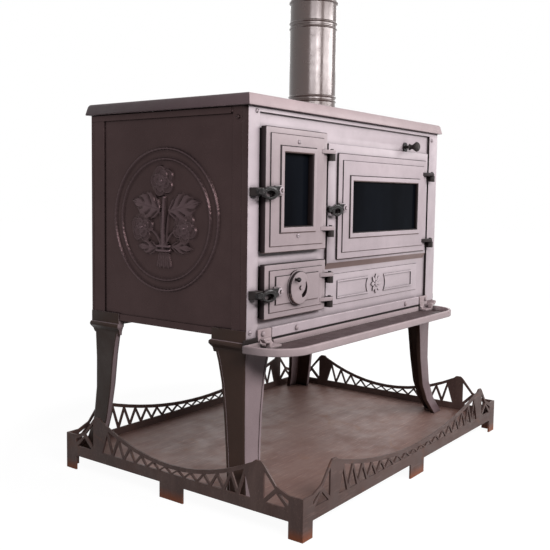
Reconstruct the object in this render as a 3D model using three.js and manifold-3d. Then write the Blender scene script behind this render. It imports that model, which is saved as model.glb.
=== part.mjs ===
// Wood cookstove: a cast and sheet body with firebox, ash and oven doors, a cooking top with a
// ring set, a flue pipe, a front shelf and four cast legs, standing on a floor tray that is
// edged by cut sheet fences shaped like truss bridges. Millimetres, +Z up, front faces -Y.
import * as THREE from 'three';
import { mergeVertices } from 'three/addons/utils/BufferGeometryUtils.js';
import Module from 'manifold-3d';

const wasm = await Module();
wasm.setup();

// ---------------------------------------------------------------- driving dimensions
const SEAT = 0.3; // gap where two castings meet
const SLIP = 1.5; // running clearance of what slides or turns
const ROUND = 24; // sides of the large turned pieces
const SMALL_ROUND = 8; // sides of pins, bores and knuckles

// body
const BODY_W = 880;
const BODY_D = 478;
const BODY_H = 482; // up to the underside of the cooking top
const FRONT_T = 17; // front casting, stiles included
const FRONT_RECESS = 7; // field behind the stiles
const STILE_LEFT = 37;
const STILE_RIGHT = 50;
const TOP_RAIL = 10;
const SIDE_T = 10;
const SIDE_BORDER = 3; // border proud of the side field
const SIDE_STILE_FRONT = 24;
const SIDE_STILE_BACK = 36;
const SIDE_TOP_BAND = 13;
const SIDE_LOW_BAND = 16;
const BACK_T = 8;
const BASE_T = 10;

// cooking top
const TOP_T = 25;
const TOP_SKIN = 9;
const TOP_OVERHANG = 4;
const TOP_FLARE = 6;
const TOP_RIM_T = 12;
const HOB_X = 160;
const HOB_Y = BODY_D / 2 - 3;
const HOB_R = 125;
const HOB_STEP = 10; // ledge width under each ring
const HOB_RING_R = 88; // split between the outer and the inner ring
const HOB_LID_R = 50;
const HOB_RING_T = 8;
const FLUE_X = BODY_W - 132;
const FLUE_Y = BODY_D - 126;
const FLUE_SEAT_UP = 1.5; // raised pad under the collar

// flue
const PIPE_R = 69.3;
const PIPE_T = 2;
const COLLAR_H = 46;
const COLLAR_T = 7;
const COLLAR_FLANGE_R = 98;
const COLLAR_FLANGE_T = 8;
const PIPE_LOW_TOP = BODY_H + 320; // level of the joint between both lengths of pipe
const PIPE_TOP = BODY_H + 408;
const BEAD_LOW = BODY_H + 112;
const BEAD_TOP = PIPE_TOP - 19;
const BEAD_R = 2.8;
const BEAD_PAIR = 4.4 * BEAD_R; // between the two low beads
const PIPE_LAP = 40;

// openings in the front casting, with the doors that cover them
const FIRE_X0 = 40;
const FIRE_X1 = 274;
const FIRE_Z0 = 178;
const FIRE_Z1 = BODY_H - 38.5;
const ASH_Z0 = 37;
const ASH_Z1 = 154;
const OVEN_X0 = 338;
const OVEN_X1 = BODY_W - 74;
const OVEN_Z0 = 148;
const OVEN_Z1 = BODY_H - 80;
const DOOR_LAP = 16; // how far a door covers the casting round its opening
const PAD_INSET = 4; // landing strip under the door's edge
const DOOR_T = 13.7;
const OVEN_DOOR_T = 4.8;
const DOOR_BEVEL = 1.6;
const DOOR_LIFT = 2.4; // raised middle of each door

// raised surround of the oven door
const SURROUND_X0 = OVEN_X0 - 37;
const SURROUND_X1 = OVEN_X1 + 14;
const SURROUND_Z0 = OVEN_Z0 - 22;
const SURROUND_Z1 = OVEN_Z1 + 20;
const SURROUND_BEVEL = 15;

// panel below the oven
const FIELD_X0 = OVEN_X0 - 32;
const FIELD_X1 = OVEN_X1 - 27;
const FIELD_Z0 = 38;
const FIELD_Z1 = 113;
const FIELD_UP = 2;
const CARTOUCHE_Z0 = 52;
const CARTOUCHE_Z1 = 96;
const ROSETTE_X = (FIELD_X0 + FIELD_X1) / 2 + 1.5;
const ROSETTE_Z = (CARTOUCHE_Z0 + CARTOUCHE_Z1) / 2;
const CARTOUCHE_L0 = FIELD_X0 + 49.5;
const CARTOUCHE_L1 = ROSETTE_X - 38;
const CARTOUCHE_R0 = ROSETTE_X + 41;
const CARTOUCHE_R1 = FIELD_X1 - 34;
const CARTOUCHE_BEAD = 4;
const ROSETTE_R = 25.5;
const PETALS = 8;

// windows
const FIRE_WIN = { x0: FIRE_X0 + 63, x1: FIRE_X1 - 63, z0: FIRE_Z0 + 55.5, z1: FIRE_Z1 - 52 };
const OVEN_WIN = { x0: OVEN_X0 + 63, x1: OVEN_X1 - 61.5, z0: OVEN_Z0 + 64, z1: OVEN_Z1 - 66 };
const WIN_BEAD = 15;
const BEAD_UP = 5.5;
const GLASS_T = 4;
const GLASS_LAP = 8;
const CLIP_T = 2;

// hinges: a tab on the door drops over a pin standing in the frame's knuckle
const HINGE_PIN_R = 4;
const PIN_BORE_R = (HINGE_PIN_R + SEAT) / Math.cos(Math.PI / SMALL_ROUND); // its flats clear the pin's corners
const KNUCKLE_R = 9;
const KNUCKLE_H = 15.5;
const TAB_T = 9;
const HINGE_OUT = 18; // pin axis in front of the casting
const FIRE_PIN_X = FIRE_X1 + 13;
const OVEN_PIN_X = OVEN_X1 + 18;
const OVEN_HINGE_OUT = 13;

// latches
const LATCH_PLATE_W = 27;
const LATCH_PLATE_H = 22;
const LATCH_PLATE_T = 6;
const LATCH_HUB_R = 9.5;
const LATCH_EYE_DROP = 6; // centre of the finger eye below the pivot
const LATCH_EYE_H = 28;
const LATCH_EYE_RIM = 7;
const LATCH_T = 9;
const LATCH_NOSE_H = 10;
const KEEPER_H = 17;

// air disc of the ash door
const DISC_X = (FIRE_X0 + FIRE_X1) / 2 - 3;
const DISC_Z = (ASH_Z0 + ASH_Z1) / 2 + 2.5;
const DISC_R = 37;
const DISC_T = 7;
const DISC_BOSS = 7;
const COMMA_FROM = 28; // angles of the comma's two ends
const COMMA_TO = -72;
const DISC_KNOB_R = 28;
const DISC_KNOB_AT = 135;

// damper
const DAMPER_X = FLUE_X - 56;
const DAMPER_Z = BODY_H - 47;
const DAMPER_ROD_R = 4;
const DAMPER_TRAVEL = 60;

// legs
const LEG_H = 334;
const LEG_HEAD = 94;
const LEG_LUG_T = 1.5;
const LEG_LUG_UP = 17;
const COLLAR_DROP = 9; // plain part of the head above its moulding
const COLLAR_TALL = 11;
const COLLAR_OUT = 8;
const LEG_WALL = 8;
const LEG_BEAD = 3;

// shelf
const SHELF_X0 = -18;
const SHELF_X1 = BODY_W - 57;
const SHELF_Y1 = -4;
const SHELF_DEPTH = 110;
const SHELF_TOP = -9;
const SHELF_H = 17;
const SHELF_WALL = 7;
const SHELF_FLOOR = 5;
const SHELF_CORNER = 82;

// floor tray
const TRAY_FEET = 41;
const TRAY_SHEET = 3;
const STOVE_LEFT = 37; // from the body's left side to the tray's edge, and so on round
const STOVE_RIGHT = 65;
const STOVE_FRONT = 175;
const STOVE_BACK = 54;
const TRAY_W = STOVE_LEFT + BODY_W + STOVE_RIGHT;
const TRAY_D = STOVE_FRONT + BODY_D + STOVE_BACK;
const FENCE_T = 4;
const FENCE_BAND = 19;
const FENCE_POST = 35;
const FENCE_POST_H = 46;
const FENCE_PILLAR = 29;
const FENCE_PILLAR_H = 101;
const FENCE_PILLAR_AT = 112;
const FENCE_DIP = 39;
const FENCE_CABLE = 9;
const FENCE_PITCH = 40;
const FENCE_WEB = 2.9; // half width of a web, measured level
const FENCE_FOOT = 70;

// ---------------------------------------------------------------- colours and finishes
const finish = (color, roughness, metalness) => new THREE.MeshStandardMaterial({ color, roughness, metalness });
const enamel = () => finish(0x6b5a5b, 0.42, 0.55);
const castIron = () => finish(0x2c2827, 0.7, 0.6);
const darkEnamel = () => finish(0x3a3030, 0.5, 0.5);
const brightSteel = () => finish(0xb9b2b2, 0.3, 0.9);
const pipeEnamel = () => finish(0x7a6264, 0.25, 0.6);
const brick = () => finish(0x6d5c50, 0.95, 0);
const darkGlass = () => finish(0x1a1e22, 0.08, 0);
const fenceSteel = () => finish(0x3f3532, 0.6, 0.5);
const traySteel = () => finish(0x6f6260, 0.6, 0.5);

// ---------------------------------------------------------------- solids
function solid(geometry) {
  const plain = geometry.clone();
  plain.deleteAttribute('normal');
  plain.deleteAttribute('uv');
  const merged = mergeVertices(plain, 1e-4);
  const vertProperties = new Float32Array(merged.attributes.position.array);
  const triVerts = new Uint32Array(merged.index.array);
  return new wasm.Manifold(new wasm.Mesh({ numProp: 3, vertProperties, triVerts }));
}

function meshOf(name, body, material) {
  const { vertProperties, triVerts } = body.getMesh();
  const geometry = new THREE.BufferGeometry();
  geometry.setAttribute('position', new THREE.BufferAttribute(vertProperties, 3));
  geometry.setIndex(new THREE.BufferAttribute(triVerts, 1));
  geometry.computeVertexNormals();
  const mesh = new THREE.Mesh(geometry, material);
  mesh.name = name;
  return mesh;
}

const join = (...bodies) => bodies.flat(3).reduce((sum, body) => sum.add(body));
const cut = (body, ...tools) => tools.flat(3).reduce((rest, tool) => rest.subtract(tool), body);

function block(x0, x1, y0, y1, z0, z1) {
  const geometry = new THREE.BoxGeometry(x1 - x0, y1 - y0, z1 - z0);
  return solid(geometry.translate((x0 + x1) / 2, (y0 + y1) / 2, (z0 + z1) / 2));
}

// a Shape drawn in the plane square to the axis: (x, y) for z, (x, z) for y and (y, z) for x
function extruded(axis, shape, from, to, bevel = 0, curveSegments = 8) {
  const geometry = new THREE.ExtrudeGeometry(shape, {
    depth: to - from - 2 * bevel,
    bevelEnabled: bevel > 0,
    bevelThickness: bevel,
    bevelSize: bevel,
    bevelOffset: -bevel,
    bevelSegments: 1,
    curveSegments,
  });
  geometry.translate(0, 0, bevel);
  if (axis === 'y') geometry.rotateX(Math.PI / 2).translate(0, to, 0);
  if (axis === 'z') geometry.translate(0, 0, from);
  if (axis === 'x') {
    const basis = new THREE.Matrix4().makeBasis(
      new THREE.Vector3(0, 1, 0), new THREE.Vector3(0, 0, 1), new THREE.Vector3(1, 0, 0));
    geometry.applyMatrix4(basis).translate(from, 0, 0);
  }
  return solid(geometry);
}

const polygon = (points) => new THREE.Shape(points.map(([a, b]) => new THREE.Vector2(a, b)));

function rectangle(a0, a1, b0, b1, radius = 0) {
  if (!radius) return polygon([[a0, b0], [a1, b0], [a1, b1], [a0, b1]]);
  const shape = new THREE.Shape();
  shape.moveTo(a0 + radius, b0);
  shape.lineTo(a1 - radius, b0);
  shape.absarc(a1 - radius, b0 + radius, radius, -Math.PI / 2, 0);
  shape.lineTo(a1, b1 - radius);
  shape.absarc(a1 - radius, b1 - radius, radius, 0, Math.PI / 2);
  shape.lineTo(a0 + radius, b1);
  shape.absarc(a0 + radius, b1 - radius, radius, Math.PI / 2, Math.PI);
  shape.lineTo(a0, b0 + radius);
  shape.absarc(a0 + radius, b0 + radius, radius, Math.PI, 1.5 * Math.PI);
  return shape;
}

function frame(a0, a1, b0, b1, width) {
  const shape = rectangle(a0, a1, b0, b1);
  shape.holes.push(rectangle(a0 + width, a1 - width, b0 + width, b1 - width));
  return shape;
}

// profile of [radius, height] pairs turned about the axis through the point
function turned(axis, profile, x, y, z, segments = ROUND) {
  const points = profile.map(([r, h]) => new THREE.Vector2(r, h));
  const geometry = new THREE.LatheGeometry(points, segments);
  if (axis === 'z') geometry.rotateX(Math.PI / 2);
  if (axis === 'x') geometry.rotateZ(-Math.PI / 2);
  const body = solid(geometry.translate(x, y, z));
  return body;
}

// closed profile of a ring or tube, turned about a standing axis
function ring(x, y, profile, segments = ROUND) {
  return turned('z', [...profile, profile[0]], x, y, 0, segments);
}

function disc(axis, radius, from, to, x, y, z, segments = SMALL_ROUND) {
  const profile = [[0, from], [radius, from], [radius, to], [0, to]];
  return turned(axis, profile, x, y, z, segments);
}

const tubeWall = (r0, r1, z0, z1) => [[r0, z0], [r1, z0], [r1, z1], [r0, z1]];

const stove = new THREE.Group();
stove.name = 'stove';
stove.position.set(
  STOVE_LEFT - TRAY_W / 2,
  STOVE_FRONT - TRAY_D / 2,
  TRAY_FEET + LEG_H);
const tray = new THREE.Group();
tray.name = 'tray';

const place = (name, body, material) => stove.add(meshOf(name, body, material));

// ---------------------------------------------------------------- front casting
const fireHole = { x0: FIRE_X0 + DOOR_LAP, x1: FIRE_X1 - DOOR_LAP, z0: FIRE_Z0 + DOOR_LAP, z1: FIRE_Z1 - DOOR_LAP };
const ashHole = { x0: fireHole.x0, x1: fireHole.x1, z0: ASH_Z0 + DOOR_LAP, z1: ASH_Z1 - DOOR_LAP };
const ovenHole = { x0: OVEN_X0 + DOOR_LAP, x1: OVEN_X1 - DOOR_LAP, z0: OVEN_Z0 + DOOR_LAP, z1: OVEN_Z1 - DOOR_LAP };

const hole = (h, y0, y1, grow = 0) => block(h.x0 - grow, h.x1 + grow, y0, y1, h.z0 - grow, h.z1 + grow);

// the frame's half of a hinge: a round knuckle on a web, with its pin standing out of the top
function knuckle(pinX, out, z, webTo) {
  const webX0 = Math.min(pinX - KNUCKLE_R, webTo);
  const webX1 = Math.max(pinX + KNUCKLE_R, webTo);
  const barrel = disc('z', KNUCKLE_R, z, z + KNUCKLE_H, pinX, -out, 0);
  const web = block(webX0 + 3, webX1 - 3, -out, FRONT_RECESS + 1, z, z + KNUCKLE_H);
  const pin = disc('z', HINGE_PIN_R, z + KNUCKLE_H - 1, z + KNUCKLE_H + TAB_T + 3, pinX, -out, 0);
  return join(barrel, web, pin);
}

// the door's half: a flat tab with a round end, dropped over the pin
function hingeTab(pinX, out, z, doorX, faceY, backY) {
  const tab = new THREE.Shape();
  const y1 = backY;
  tab.moveTo(doorX - 26, y1);
  tab.lineTo(doorX - 26, faceY - 3);
  tab.lineTo(pinX - 4, -out - KNUCKLE_R);
  tab.absarc(pinX, -out, KNUCKLE_R, -Math.PI / 2, Math.PI / 2, false);
  tab.lineTo(doorX - 2, y1);
  const body = extruded('z', tab, z, z + TAB_T, 0, 4);
  const bore = disc('z', PIN_BORE_R, z - 1, z + TAB_T + 1, pinX, -out, 0);
  return { body, bore };
}

const fireHinges = [FIRE_Z0 + 27, FIRE_Z1 - 63];
const ashHinges = [ASH_Z0 + 4, ASH_Z0 + 61];
const ovenHinges = [OVEN_Z0 + 9, OVEN_Z1 - 58];

const doorBack = -SEAT;
const fireFace = doorBack - DOOR_T;
const ovenFace = doorBack - OVEN_DOOR_T;

// the three latches: pivot, tip of the nose, half length of the eye, and the keeper's two edges
const fireLatch = { x: FIRE_X0 + 40, nose: 3, half: 28, keeper: [5, 31], face: fireFace };
const ovenLatch = {
  x: OVEN_X0 + 12, nose: FIRE_X1 + 5, half: 25, keeper: [FIRE_X1 + 6, SURROUND_X0 - 3], face: ovenFace };
const latches = {
  firebox: { ...fireLatch, z: (FIRE_Z0 + FIRE_Z1) / 2 - 0.75 },
  ash: { ...fireLatch, z: (ASH_Z0 + ASH_Z1) / 2 },
  oven: { ...ovenLatch, z: (OVEN_Z0 + OVEN_Z1) / 2 - 3 },
};

// block on the frame whose front lies level with the latch plate, so that the nose rests on it
function keeper({ keeper: [x0, x1], z, face }) {
  const low = z - LATCH_EYE_DROP / 2;
  const shape = rectangle(x0, x1, low - KEEPER_H / 2, low + KEEPER_H / 2);
  return extruded('y', shape, face - LATCH_PLATE_T, FRONT_RECESS + 1, 1.5, 3);
}

const frontSlab = extruded('y', rectangle(0, BODY_W, 0, BODY_H), FRONT_RECESS, FRONT_T);
const stileLeft = block(0, STILE_LEFT, 0, FRONT_RECESS + 1, 0, BODY_H);
const stileRight = block(BODY_W - STILE_RIGHT, BODY_W, 0, FRONT_RECESS + 1, 0, BODY_H);
const topRail = block(1, BODY_W - 1, 0, FRONT_RECESS + 1, BODY_H - TOP_RAIL, BODY_H);
const pad = (x0, x1, z0, z1) => block(x0 + PAD_INSET, x1 - PAD_INSET, 0, FRONT_RECESS + 1, z0 + PAD_INSET, z1 - PAD_INSET);

const surround = join(
  block(SURROUND_X0, SURROUND_X1, 0, FRONT_RECESS + 1, SURROUND_Z0 + SURROUND_BEVEL, SURROUND_Z1),
  extruded('x', polygon([
    [FRONT_RECESS + 1, SURROUND_Z0], [FRONT_RECESS, SURROUND_Z0],
    [0, SURROUND_Z0 + SURROUND_BEVEL], [0, SURROUND_Z0 + SURROUND_BEVEL + 1],
    [FRONT_RECESS + 1, SURROUND_Z0 + SURROUND_BEVEL + 1],
  ]), SURROUND_X0, SURROUND_X1));

const fieldFace = FRONT_RECESS - FIELD_UP;
const decoField = extruded('y', rectangle(FIELD_X0, FIELD_X1, FIELD_Z0, FIELD_Z1), fieldFace, FRONT_RECESS + 1, 0.8);

// a bordered tablet whose end towards the rosette is scooped by an arc
function cartouche(x0, x1, scoopRight) {
  const outline = (inset) => {
    const shape = new THREE.Shape();
    const z0 = CARTOUCHE_Z0 + inset;
    const z1 = CARTOUCHE_Z1 - inset;
    const mid = (z0 + z1) / 2;
    const a0 = x0 + inset;
    const a1 = x1 - inset;
    const scoop = 15;
    if (scoopRight) {
      shape.moveTo(a0, z0);
      shape.lineTo(a1, z0);
      shape.quadraticCurveTo(a1 - scoop, mid, a1, z1);
      shape.lineTo(a0, z1);
    } else {
      shape.moveTo(a1, z1);
      shape.lineTo(a0, z1);
      shape.quadraticCurveTo(a0 + scoop, mid, a0, z0);
      shape.lineTo(a1, z0);
    }
    return shape;
  };
  const border = outline(0);
  border.holes.push(outline(CARTOUCHE_BEAD));
  return extruded('y', border, fieldFace - 2.5, fieldFace + 1, 0, 6);
}

function rosette() {
  const petals = [];
  for (let i = 0; i < PETALS; i += 1) {
    const turn = (i * 2 * Math.PI) / PETALS;
    const petal = new THREE.Shape();
    const point = (r, side) => [
      ROSETTE_X + r * Math.cos(turn) - side * Math.sin(turn),
      ROSETTE_Z + r * Math.sin(turn) + side * Math.cos(turn)];
    petal.moveTo(...point(ROSETTE_R * 0.2, 0));
    petal.quadraticCurveTo(...point(ROSETTE_R * 0.62, -ROSETTE_R * 0.42), ...point(ROSETTE_R, 0));
    petal.quadraticCurveTo(...point(ROSETTE_R * 0.62, ROSETTE_R * 0.42), ...point(ROSETTE_R * 0.2, 0));
    petals.push(extruded('y', petal, fieldFace - 3, fieldFace + 1, 0, 3));
  }
  const heart = disc('y', ROSETTE_R * 0.26, fieldFace - 4, fieldFace + 1, ROSETTE_X, 0, ROSETTE_Z, 12);
  return join(petals, heart);
}

const knuckles = [
  ...[...fireHinges, ...ashHinges].map((z) => knuckle(FIRE_PIN_X, HINGE_OUT, z, FIRE_PIN_X)),
  ...ovenHinges.map((z) => knuckle(OVEN_PIN_X, OVEN_HINGE_OUT, z, OVEN_PIN_X)),
];
const keepers = Object.values(latches).map(keeper);

const frontCasting = cut(
  join(
    frontSlab, stileLeft, stileRight, topRail, surround, decoField,
    pad(FIRE_X0, FIRE_X1, FIRE_Z0, FIRE_Z1),
    pad(FIRE_X0, FIRE_X1, ASH_Z0, ASH_Z1),
    cartouche(CARTOUCHE_L0, CARTOUCHE_L1, true),
    cartouche(CARTOUCHE_R0, CARTOUCHE_R1, false),
    rosette(), knuckles, keepers),
  hole(fireHole, -30, FRONT_T + 1), hole(ashHole, -30, FRONT_T + 1), hole(ovenHole, -30, FRONT_T + 1),
  disc('y', DAMPER_ROD_R + SLIP, -2, FRONT_T + 2, DAMPER_X, 0, DAMPER_Z));
place('front_frame', frontCasting, enamel());

// ---------------------------------------------------------------- lower fascia
const FASCIA_X0 = 82;
const FASCIA_X1 = BODY_W - 101;
const FASCIA_Z0 = -5;
const FASCIA_Z1 = 17;
const FASCIA_T = 6;
const FASCIA_BOLTS = [FASCIA_X0 + 90, FASCIA_X1 - 84];
const FASCIA_BOLT_Z = 5.5;
const BOLT_R = 3;
const BOLT_HEAD_R = 6;
const BOLT_HEAD_H = 4.5;

const fasciaHoles = FASCIA_BOLTS.map((x) => disc('y', BOLT_R + SEAT, -10, 5, x, 0, FASCIA_BOLT_Z, 10));
place('lower_fascia', cut(
  extruded('y', rectangle(FASCIA_X0, FASCIA_X1, FASCIA_Z0, FASCIA_Z1), -FASCIA_T, -SEAT, 1), fasciaHoles), enamel());

// domed head on a short shank that ends in the casting behind it
function bolt(x, z, underHead, shankTo) {
  const profile = [
    [0, shankTo], [BOLT_R, shankTo], [BOLT_R, underHead], [BOLT_HEAD_R, underHead],
    [BOLT_HEAD_R * 0.85, underHead - BOLT_HEAD_H * 0.7], [BOLT_HEAD_R * 0.4, underHead - BOLT_HEAD_H],
    [0, underHead - BOLT_HEAD_H]];
  return turned('y', profile.reverse(), x, 0, z, SMALL_ROUND);
}
['left', 'right'].forEach((side, i) => {
  const body = bolt(FASCIA_BOLTS[i], FASCIA_BOLT_Z, -FASCIA_T - SEAT, -SEAT - 0.2);
  place(`fascia_bolt_${side}`, body, brightSteel());
});

// ---------------------------------------------------------------- sides, back and base
const ROUNDEL_Y = BODY_D / 2 - 1;
const ROUNDEL_Z = BODY_H / 2 + 1;
const ROUNDEL_OUTER = 158;
const ROUNDEL_INNER = 135;
const ROUNDEL_BEAD = 5;
const RELIEF = 3;
const FAN_W = 45; // tied foot of the bunch
const FAN_FLUTES = 7;

function roseRelief(cx, cz, radius, y0, y1) {
  const rim = new THREE.Shape();
  const lobes = 5;
  const steps = 15;
  for (let i = 0; i < steps; i += 1) {
    const angle = (i * 2 * Math.PI) / steps;
    const r = radius * (0.9 + 0.1 * Math.cos(lobes * angle));
    const spot = [cx + r * Math.cos(angle), cz + r * Math.sin(angle)];
    if (i === 0) rim.moveTo(...spot);
    else rim.lineTo(...spot);
  }
  rim.closePath();
  const cup = (r, high) => turned('x', [[0, y0], [r, y0], [r * 0.75, high], [r * 0.4, high - 1.4], [0, high]], 0, cx, cz, 8);
  return [extruded('x', rim, y0, y1 - 1.2), cup(radius * 0.8, y1)];
}

function leafRelief(x0, z0, x1, z1, width, y0, y1) {
  const leaf = new THREE.Shape();
  const dx = x1 - x0;
  const dz = z1 - z0;
  const length = Math.hypot(dx, dz);
  const at = (t, side) => [x0 + dx * t - (dz / length) * side, z0 + dz * t + (dx / length) * side];
  leaf.moveTo(...at(0, 0));
  leaf.quadraticCurveTo(...at(0.45, -width), ...at(1, 0));
  leaf.quadraticCurveTo(...at(0.45, width), ...at(0, 0));
  return extruded('x', leaf, y0, y1, 0, 3);
}

function stemRelief(x0, z0, x1, z1, width, y0, y1) {
  const length = Math.hypot(x1 - x0, z1 - z0);
  const sx = (-(z1 - z0) / length) * (width / 2);
  const sz = ((x1 - x0) / length) * (width / 2);
  const shape = polygon([[x0 - sx, z0 - sz], [x1 - sx, z1 - sz], [x1 + sx, z1 + sz], [x0 + sx, z0 + sz]]);
  return extruded('x', shape, y0, y1);
}

// a tied bunch of three roses inside two raised rings, drawn on the side's field (y, z)
function medallion(base, top) {
  const y = (v) => ROUNDEL_Y + v;
  const z = (v) => ROUNDEL_Z + v;
  const half = ROUNDEL_BEAD / 2;
  const circle = (r) => turned('x', [[r - half, base], [r + half, base], [r, top], [r - half, base]], 0, ROUNDEL_Y, ROUNDEL_Z, 30);
  const roses = [[5, 85, 34], [69, -19, 33], [-61, -18, 34]].map(([a, b, r]) => roseRelief(y(a), z(b), r, base, top));
  const leaves = [
    [20, 24, 106, 41, 25], [-14, 18, -104, 43, 26], [18, -50, 84, -73, 17], [-18, -46, -88, -58, 17],
  ].map(([a, b, c, d, w]) => leafRelief(y(a), z(b), y(c), z(d), w, base, top - 0.6));
  const stems = [
    [0, -60, 3, 56, 15], [-10, -60, -42, -28, 9], [14, -60, 46, -30, 9], [-4, -58, -10, 20, 8], [6, -58, 18, 26, 8],
  ].map(([a, b, c, d, w]) => stemRelief(y(a), z(b), y(c), z(d), w, base, top - 0.4));
  const flutes = [];
  for (let i = 0; i < FAN_FLUTES; i += 1) {
    const t = i / (FAN_FLUTES - 1) - 0.5;
    flutes.push(stemRelief(y(t * FAN_W * 0.6), z(-70), y(t * FAN_W * 0.9), z(-104), 5, base, top - 0.4));
  }
  const tie = [-59, -68.5].map((v) => extruded(
    'x', rectangle(y(-FAN_W / 2), y(FAN_W / 2), z(v - 4.2), z(v + 4.2), 2), base, top, 0, 2));
  return join(circle(ROUNDEL_OUTER), circle(ROUNDEL_INNER), roses, leaves, stems, flutes, tie);
}

const sideY0 = FRONT_T + SEAT;
const sideY1 = BODY_D - BACK_T - SEAT;

// drawn for the left side, with its outer face at x = 0
function sideWall() {
  const slab = block(SIDE_BORDER, SIDE_T, sideY0, sideY1, 0, BODY_H);
  const border = cut(
    block(0, SIDE_BORDER + 0.5, sideY0, sideY1, 0, BODY_H),
    block(-1, SIDE_BORDER + 1, sideY0 + SIDE_STILE_FRONT, sideY1 - SIDE_STILE_BACK, SIDE_LOW_BAND, BODY_H - SIDE_TOP_BAND));
  const relief = medallion(-(SIDE_BORDER + 0.5), -(SIDE_BORDER - RELIEF)).scale([-1, 1, 1]);
  return join(slab, border, relief);
}
const leftWall = sideWall();
place('side_panel_left', leftWall, enamel());
place('side_panel_right', leftWall.scale([-1, 1, 1]).translate([BODY_W, 0, 0]), enamel());

const backWall = cut(
  block(0, BODY_W, BODY_D - BACK_T, BODY_D, 0, BODY_H),
  [0.25, 0.5, 0.75].map((t) => block(BODY_W * t - 12, BODY_W * t + 12, BODY_D - 2.5, BODY_D + 1, 40, BODY_H - 40)));
place('back_panel', backWall, darkEnamel());

const innerX0 = SIDE_T + SEAT;
const innerX1 = BODY_W - SIDE_T - SEAT;

// ---------------------------------------------------------------- inside of the body
const FIRE_WALL_X = 300; // partition between the fire side and the oven side
const FIRE_WALL_T = 8;
const FIRE_FLOOR_Z = 162; // cast floor that carries the grate
const FIRE_FLOOR_T = 10;
const LINER_T = 20;
const LINER_TOP = FIRE_Z1 - 43.5;
const GRATE_T = 14;
const GRATE_W = 150;
const GRATE_D = 250;
const GRATE_BAR = 9;
const GRATE_GAP = 12;
const OVEN_WALL = 3;
const OVEN_BACK = BODY_D - 38;
const OVEN_RISE = 4;

const floorTop = FIRE_FLOOR_Z + FIRE_FLOOR_T;
const partitionZ0 = BASE_T + SEAT;
place('fire_wall', block(FIRE_WALL_X, FIRE_WALL_X + FIRE_WALL_T, sideY0, sideY1, partitionZ0, LINER_TOP), castIron());

const grateX0 = (innerX0 + FIRE_WALL_X) / 2 - GRATE_W / 2;
const grateX1 = grateX0 + GRATE_W;
const grateY0 = HOB_Y - GRATE_D / 2;
const grateY1 = HOB_Y + GRATE_D / 2;
const floorX0 = innerX0 + SEAT;
const floorX1 = FIRE_WALL_X - SEAT;
const GRATE_LEDGE = 8;
place('firebox_floor', cut(
  block(floorX0, floorX1, sideY0, sideY1, FIRE_FLOOR_Z, floorTop),
  block(grateX0 + GRATE_LEDGE, grateX1 - GRATE_LEDGE, grateY0 + GRATE_LEDGE, grateY1 - GRATE_LEDGE, FIRE_FLOOR_Z - 1, floorTop + 1)),
castIron());

function grate() {
  const z0 = floorTop + SEAT;
  const z1 = z0 + GRATE_T;
  const rim = 12;
  const inner = GRATE_W - 2 * rim;
  const count = Math.floor((inner + GRATE_BAR) / (GRATE_BAR + GRATE_GAP));
  const slot = (inner - (count - 1) * GRATE_BAR) / count;
  const slots = [];
  for (let i = 0; i < count; i += 1) {
    const a0 = grateX0 + rim + i * (slot + GRATE_BAR);
    slots.push(block(a0, a0 + slot, grateY0 + rim, grateY1 - rim, z0 - 1, z1 + 1));
  }
  return cut(block(grateX0, grateX1, grateY0, grateY1, z0, z1), slots);
}
place('firebox_grate', grate(), castIron());

const linerZ0 = floorTop + SEAT;
const linerY0 = sideY0 + SEAT;
const linerY1 = sideY1 - SEAT;
place('firebox_liner_left', block(floorX0, floorX0 + LINER_T, linerY0, linerY1, linerZ0, LINER_TOP), brick());
place('firebox_liner_right', block(floorX1 - LINER_T, floorX1, linerY0, linerY1, linerZ0, LINER_TOP), brick());
place('firebox_liner_back', block(
  floorX0 + LINER_T + SEAT, floorX1 - LINER_T - SEAT, linerY1 - LINER_T, linerY1, linerZ0, LINER_TOP), brick());

// ash pan with turned-out lip and a bail grip, standing on the base plate
const PAN_H = 78;
const PAN_T = 2;
const PAN_LIP = 6;
const PAN_SIDE = 4;
const PAN_D = BODY_D - 78;
const panX0 = ashHole.x0 + PAN_SIDE;
const panX1 = ashHole.x1 - PAN_SIDE;
const panZ0 = ashHole.z0 + SLIP;
const RUNNER_W = 16;
place('ash_pan', (() => {
  const shell = cut(
    block(panX0, panX1, sideY0 + 6, sideY0 + PAN_D, panZ0, panZ0 + PAN_H),
    block(panX0 + PAN_T, panX1 - PAN_T, sideY0 + 6 + PAN_T, sideY0 + PAN_D - PAN_T, panZ0 + PAN_T, panZ0 + PAN_H + 1));
  const middle = (panX0 + panX1) / 2;
  const grip = new THREE.CatmullRomCurve3([
    new THREE.Vector3(middle - 45, sideY0 + 7, panZ0 + 50), new THREE.Vector3(middle - 42, sideY0 - 6, panZ0 + 50),
    new THREE.Vector3(middle + 42, sideY0 - 6, panZ0 + 50), new THREE.Vector3(middle + 45, sideY0 + 7, panZ0 + 50)],
  false, 'catmullrom', 0.1);
  const section = new THREE.Shape().absarc(0, 0, 3, 0, 2 * Math.PI);
  const bar = solid(new THREE.ExtrudeGeometry(section, { extrudePath: grip, steps: 12, curveSegments: 4 }));
  return join(shell, bar);
})(), castIron());
// base plate with two cast ribs that the ash pan slides on
place('base_plate', join(
  block(innerX0, innerX1, sideY0, sideY1, 0, BASE_T),
  [panX0 + RUNNER_W, panX1 - RUNNER_W].map((x) => block(
    x - RUNNER_W / 2, x + RUNNER_W / 2, sideY0 + SEAT, sideY1 - 20, BASE_T - 1, panZ0 - SEAT))), darkEnamel());

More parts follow.
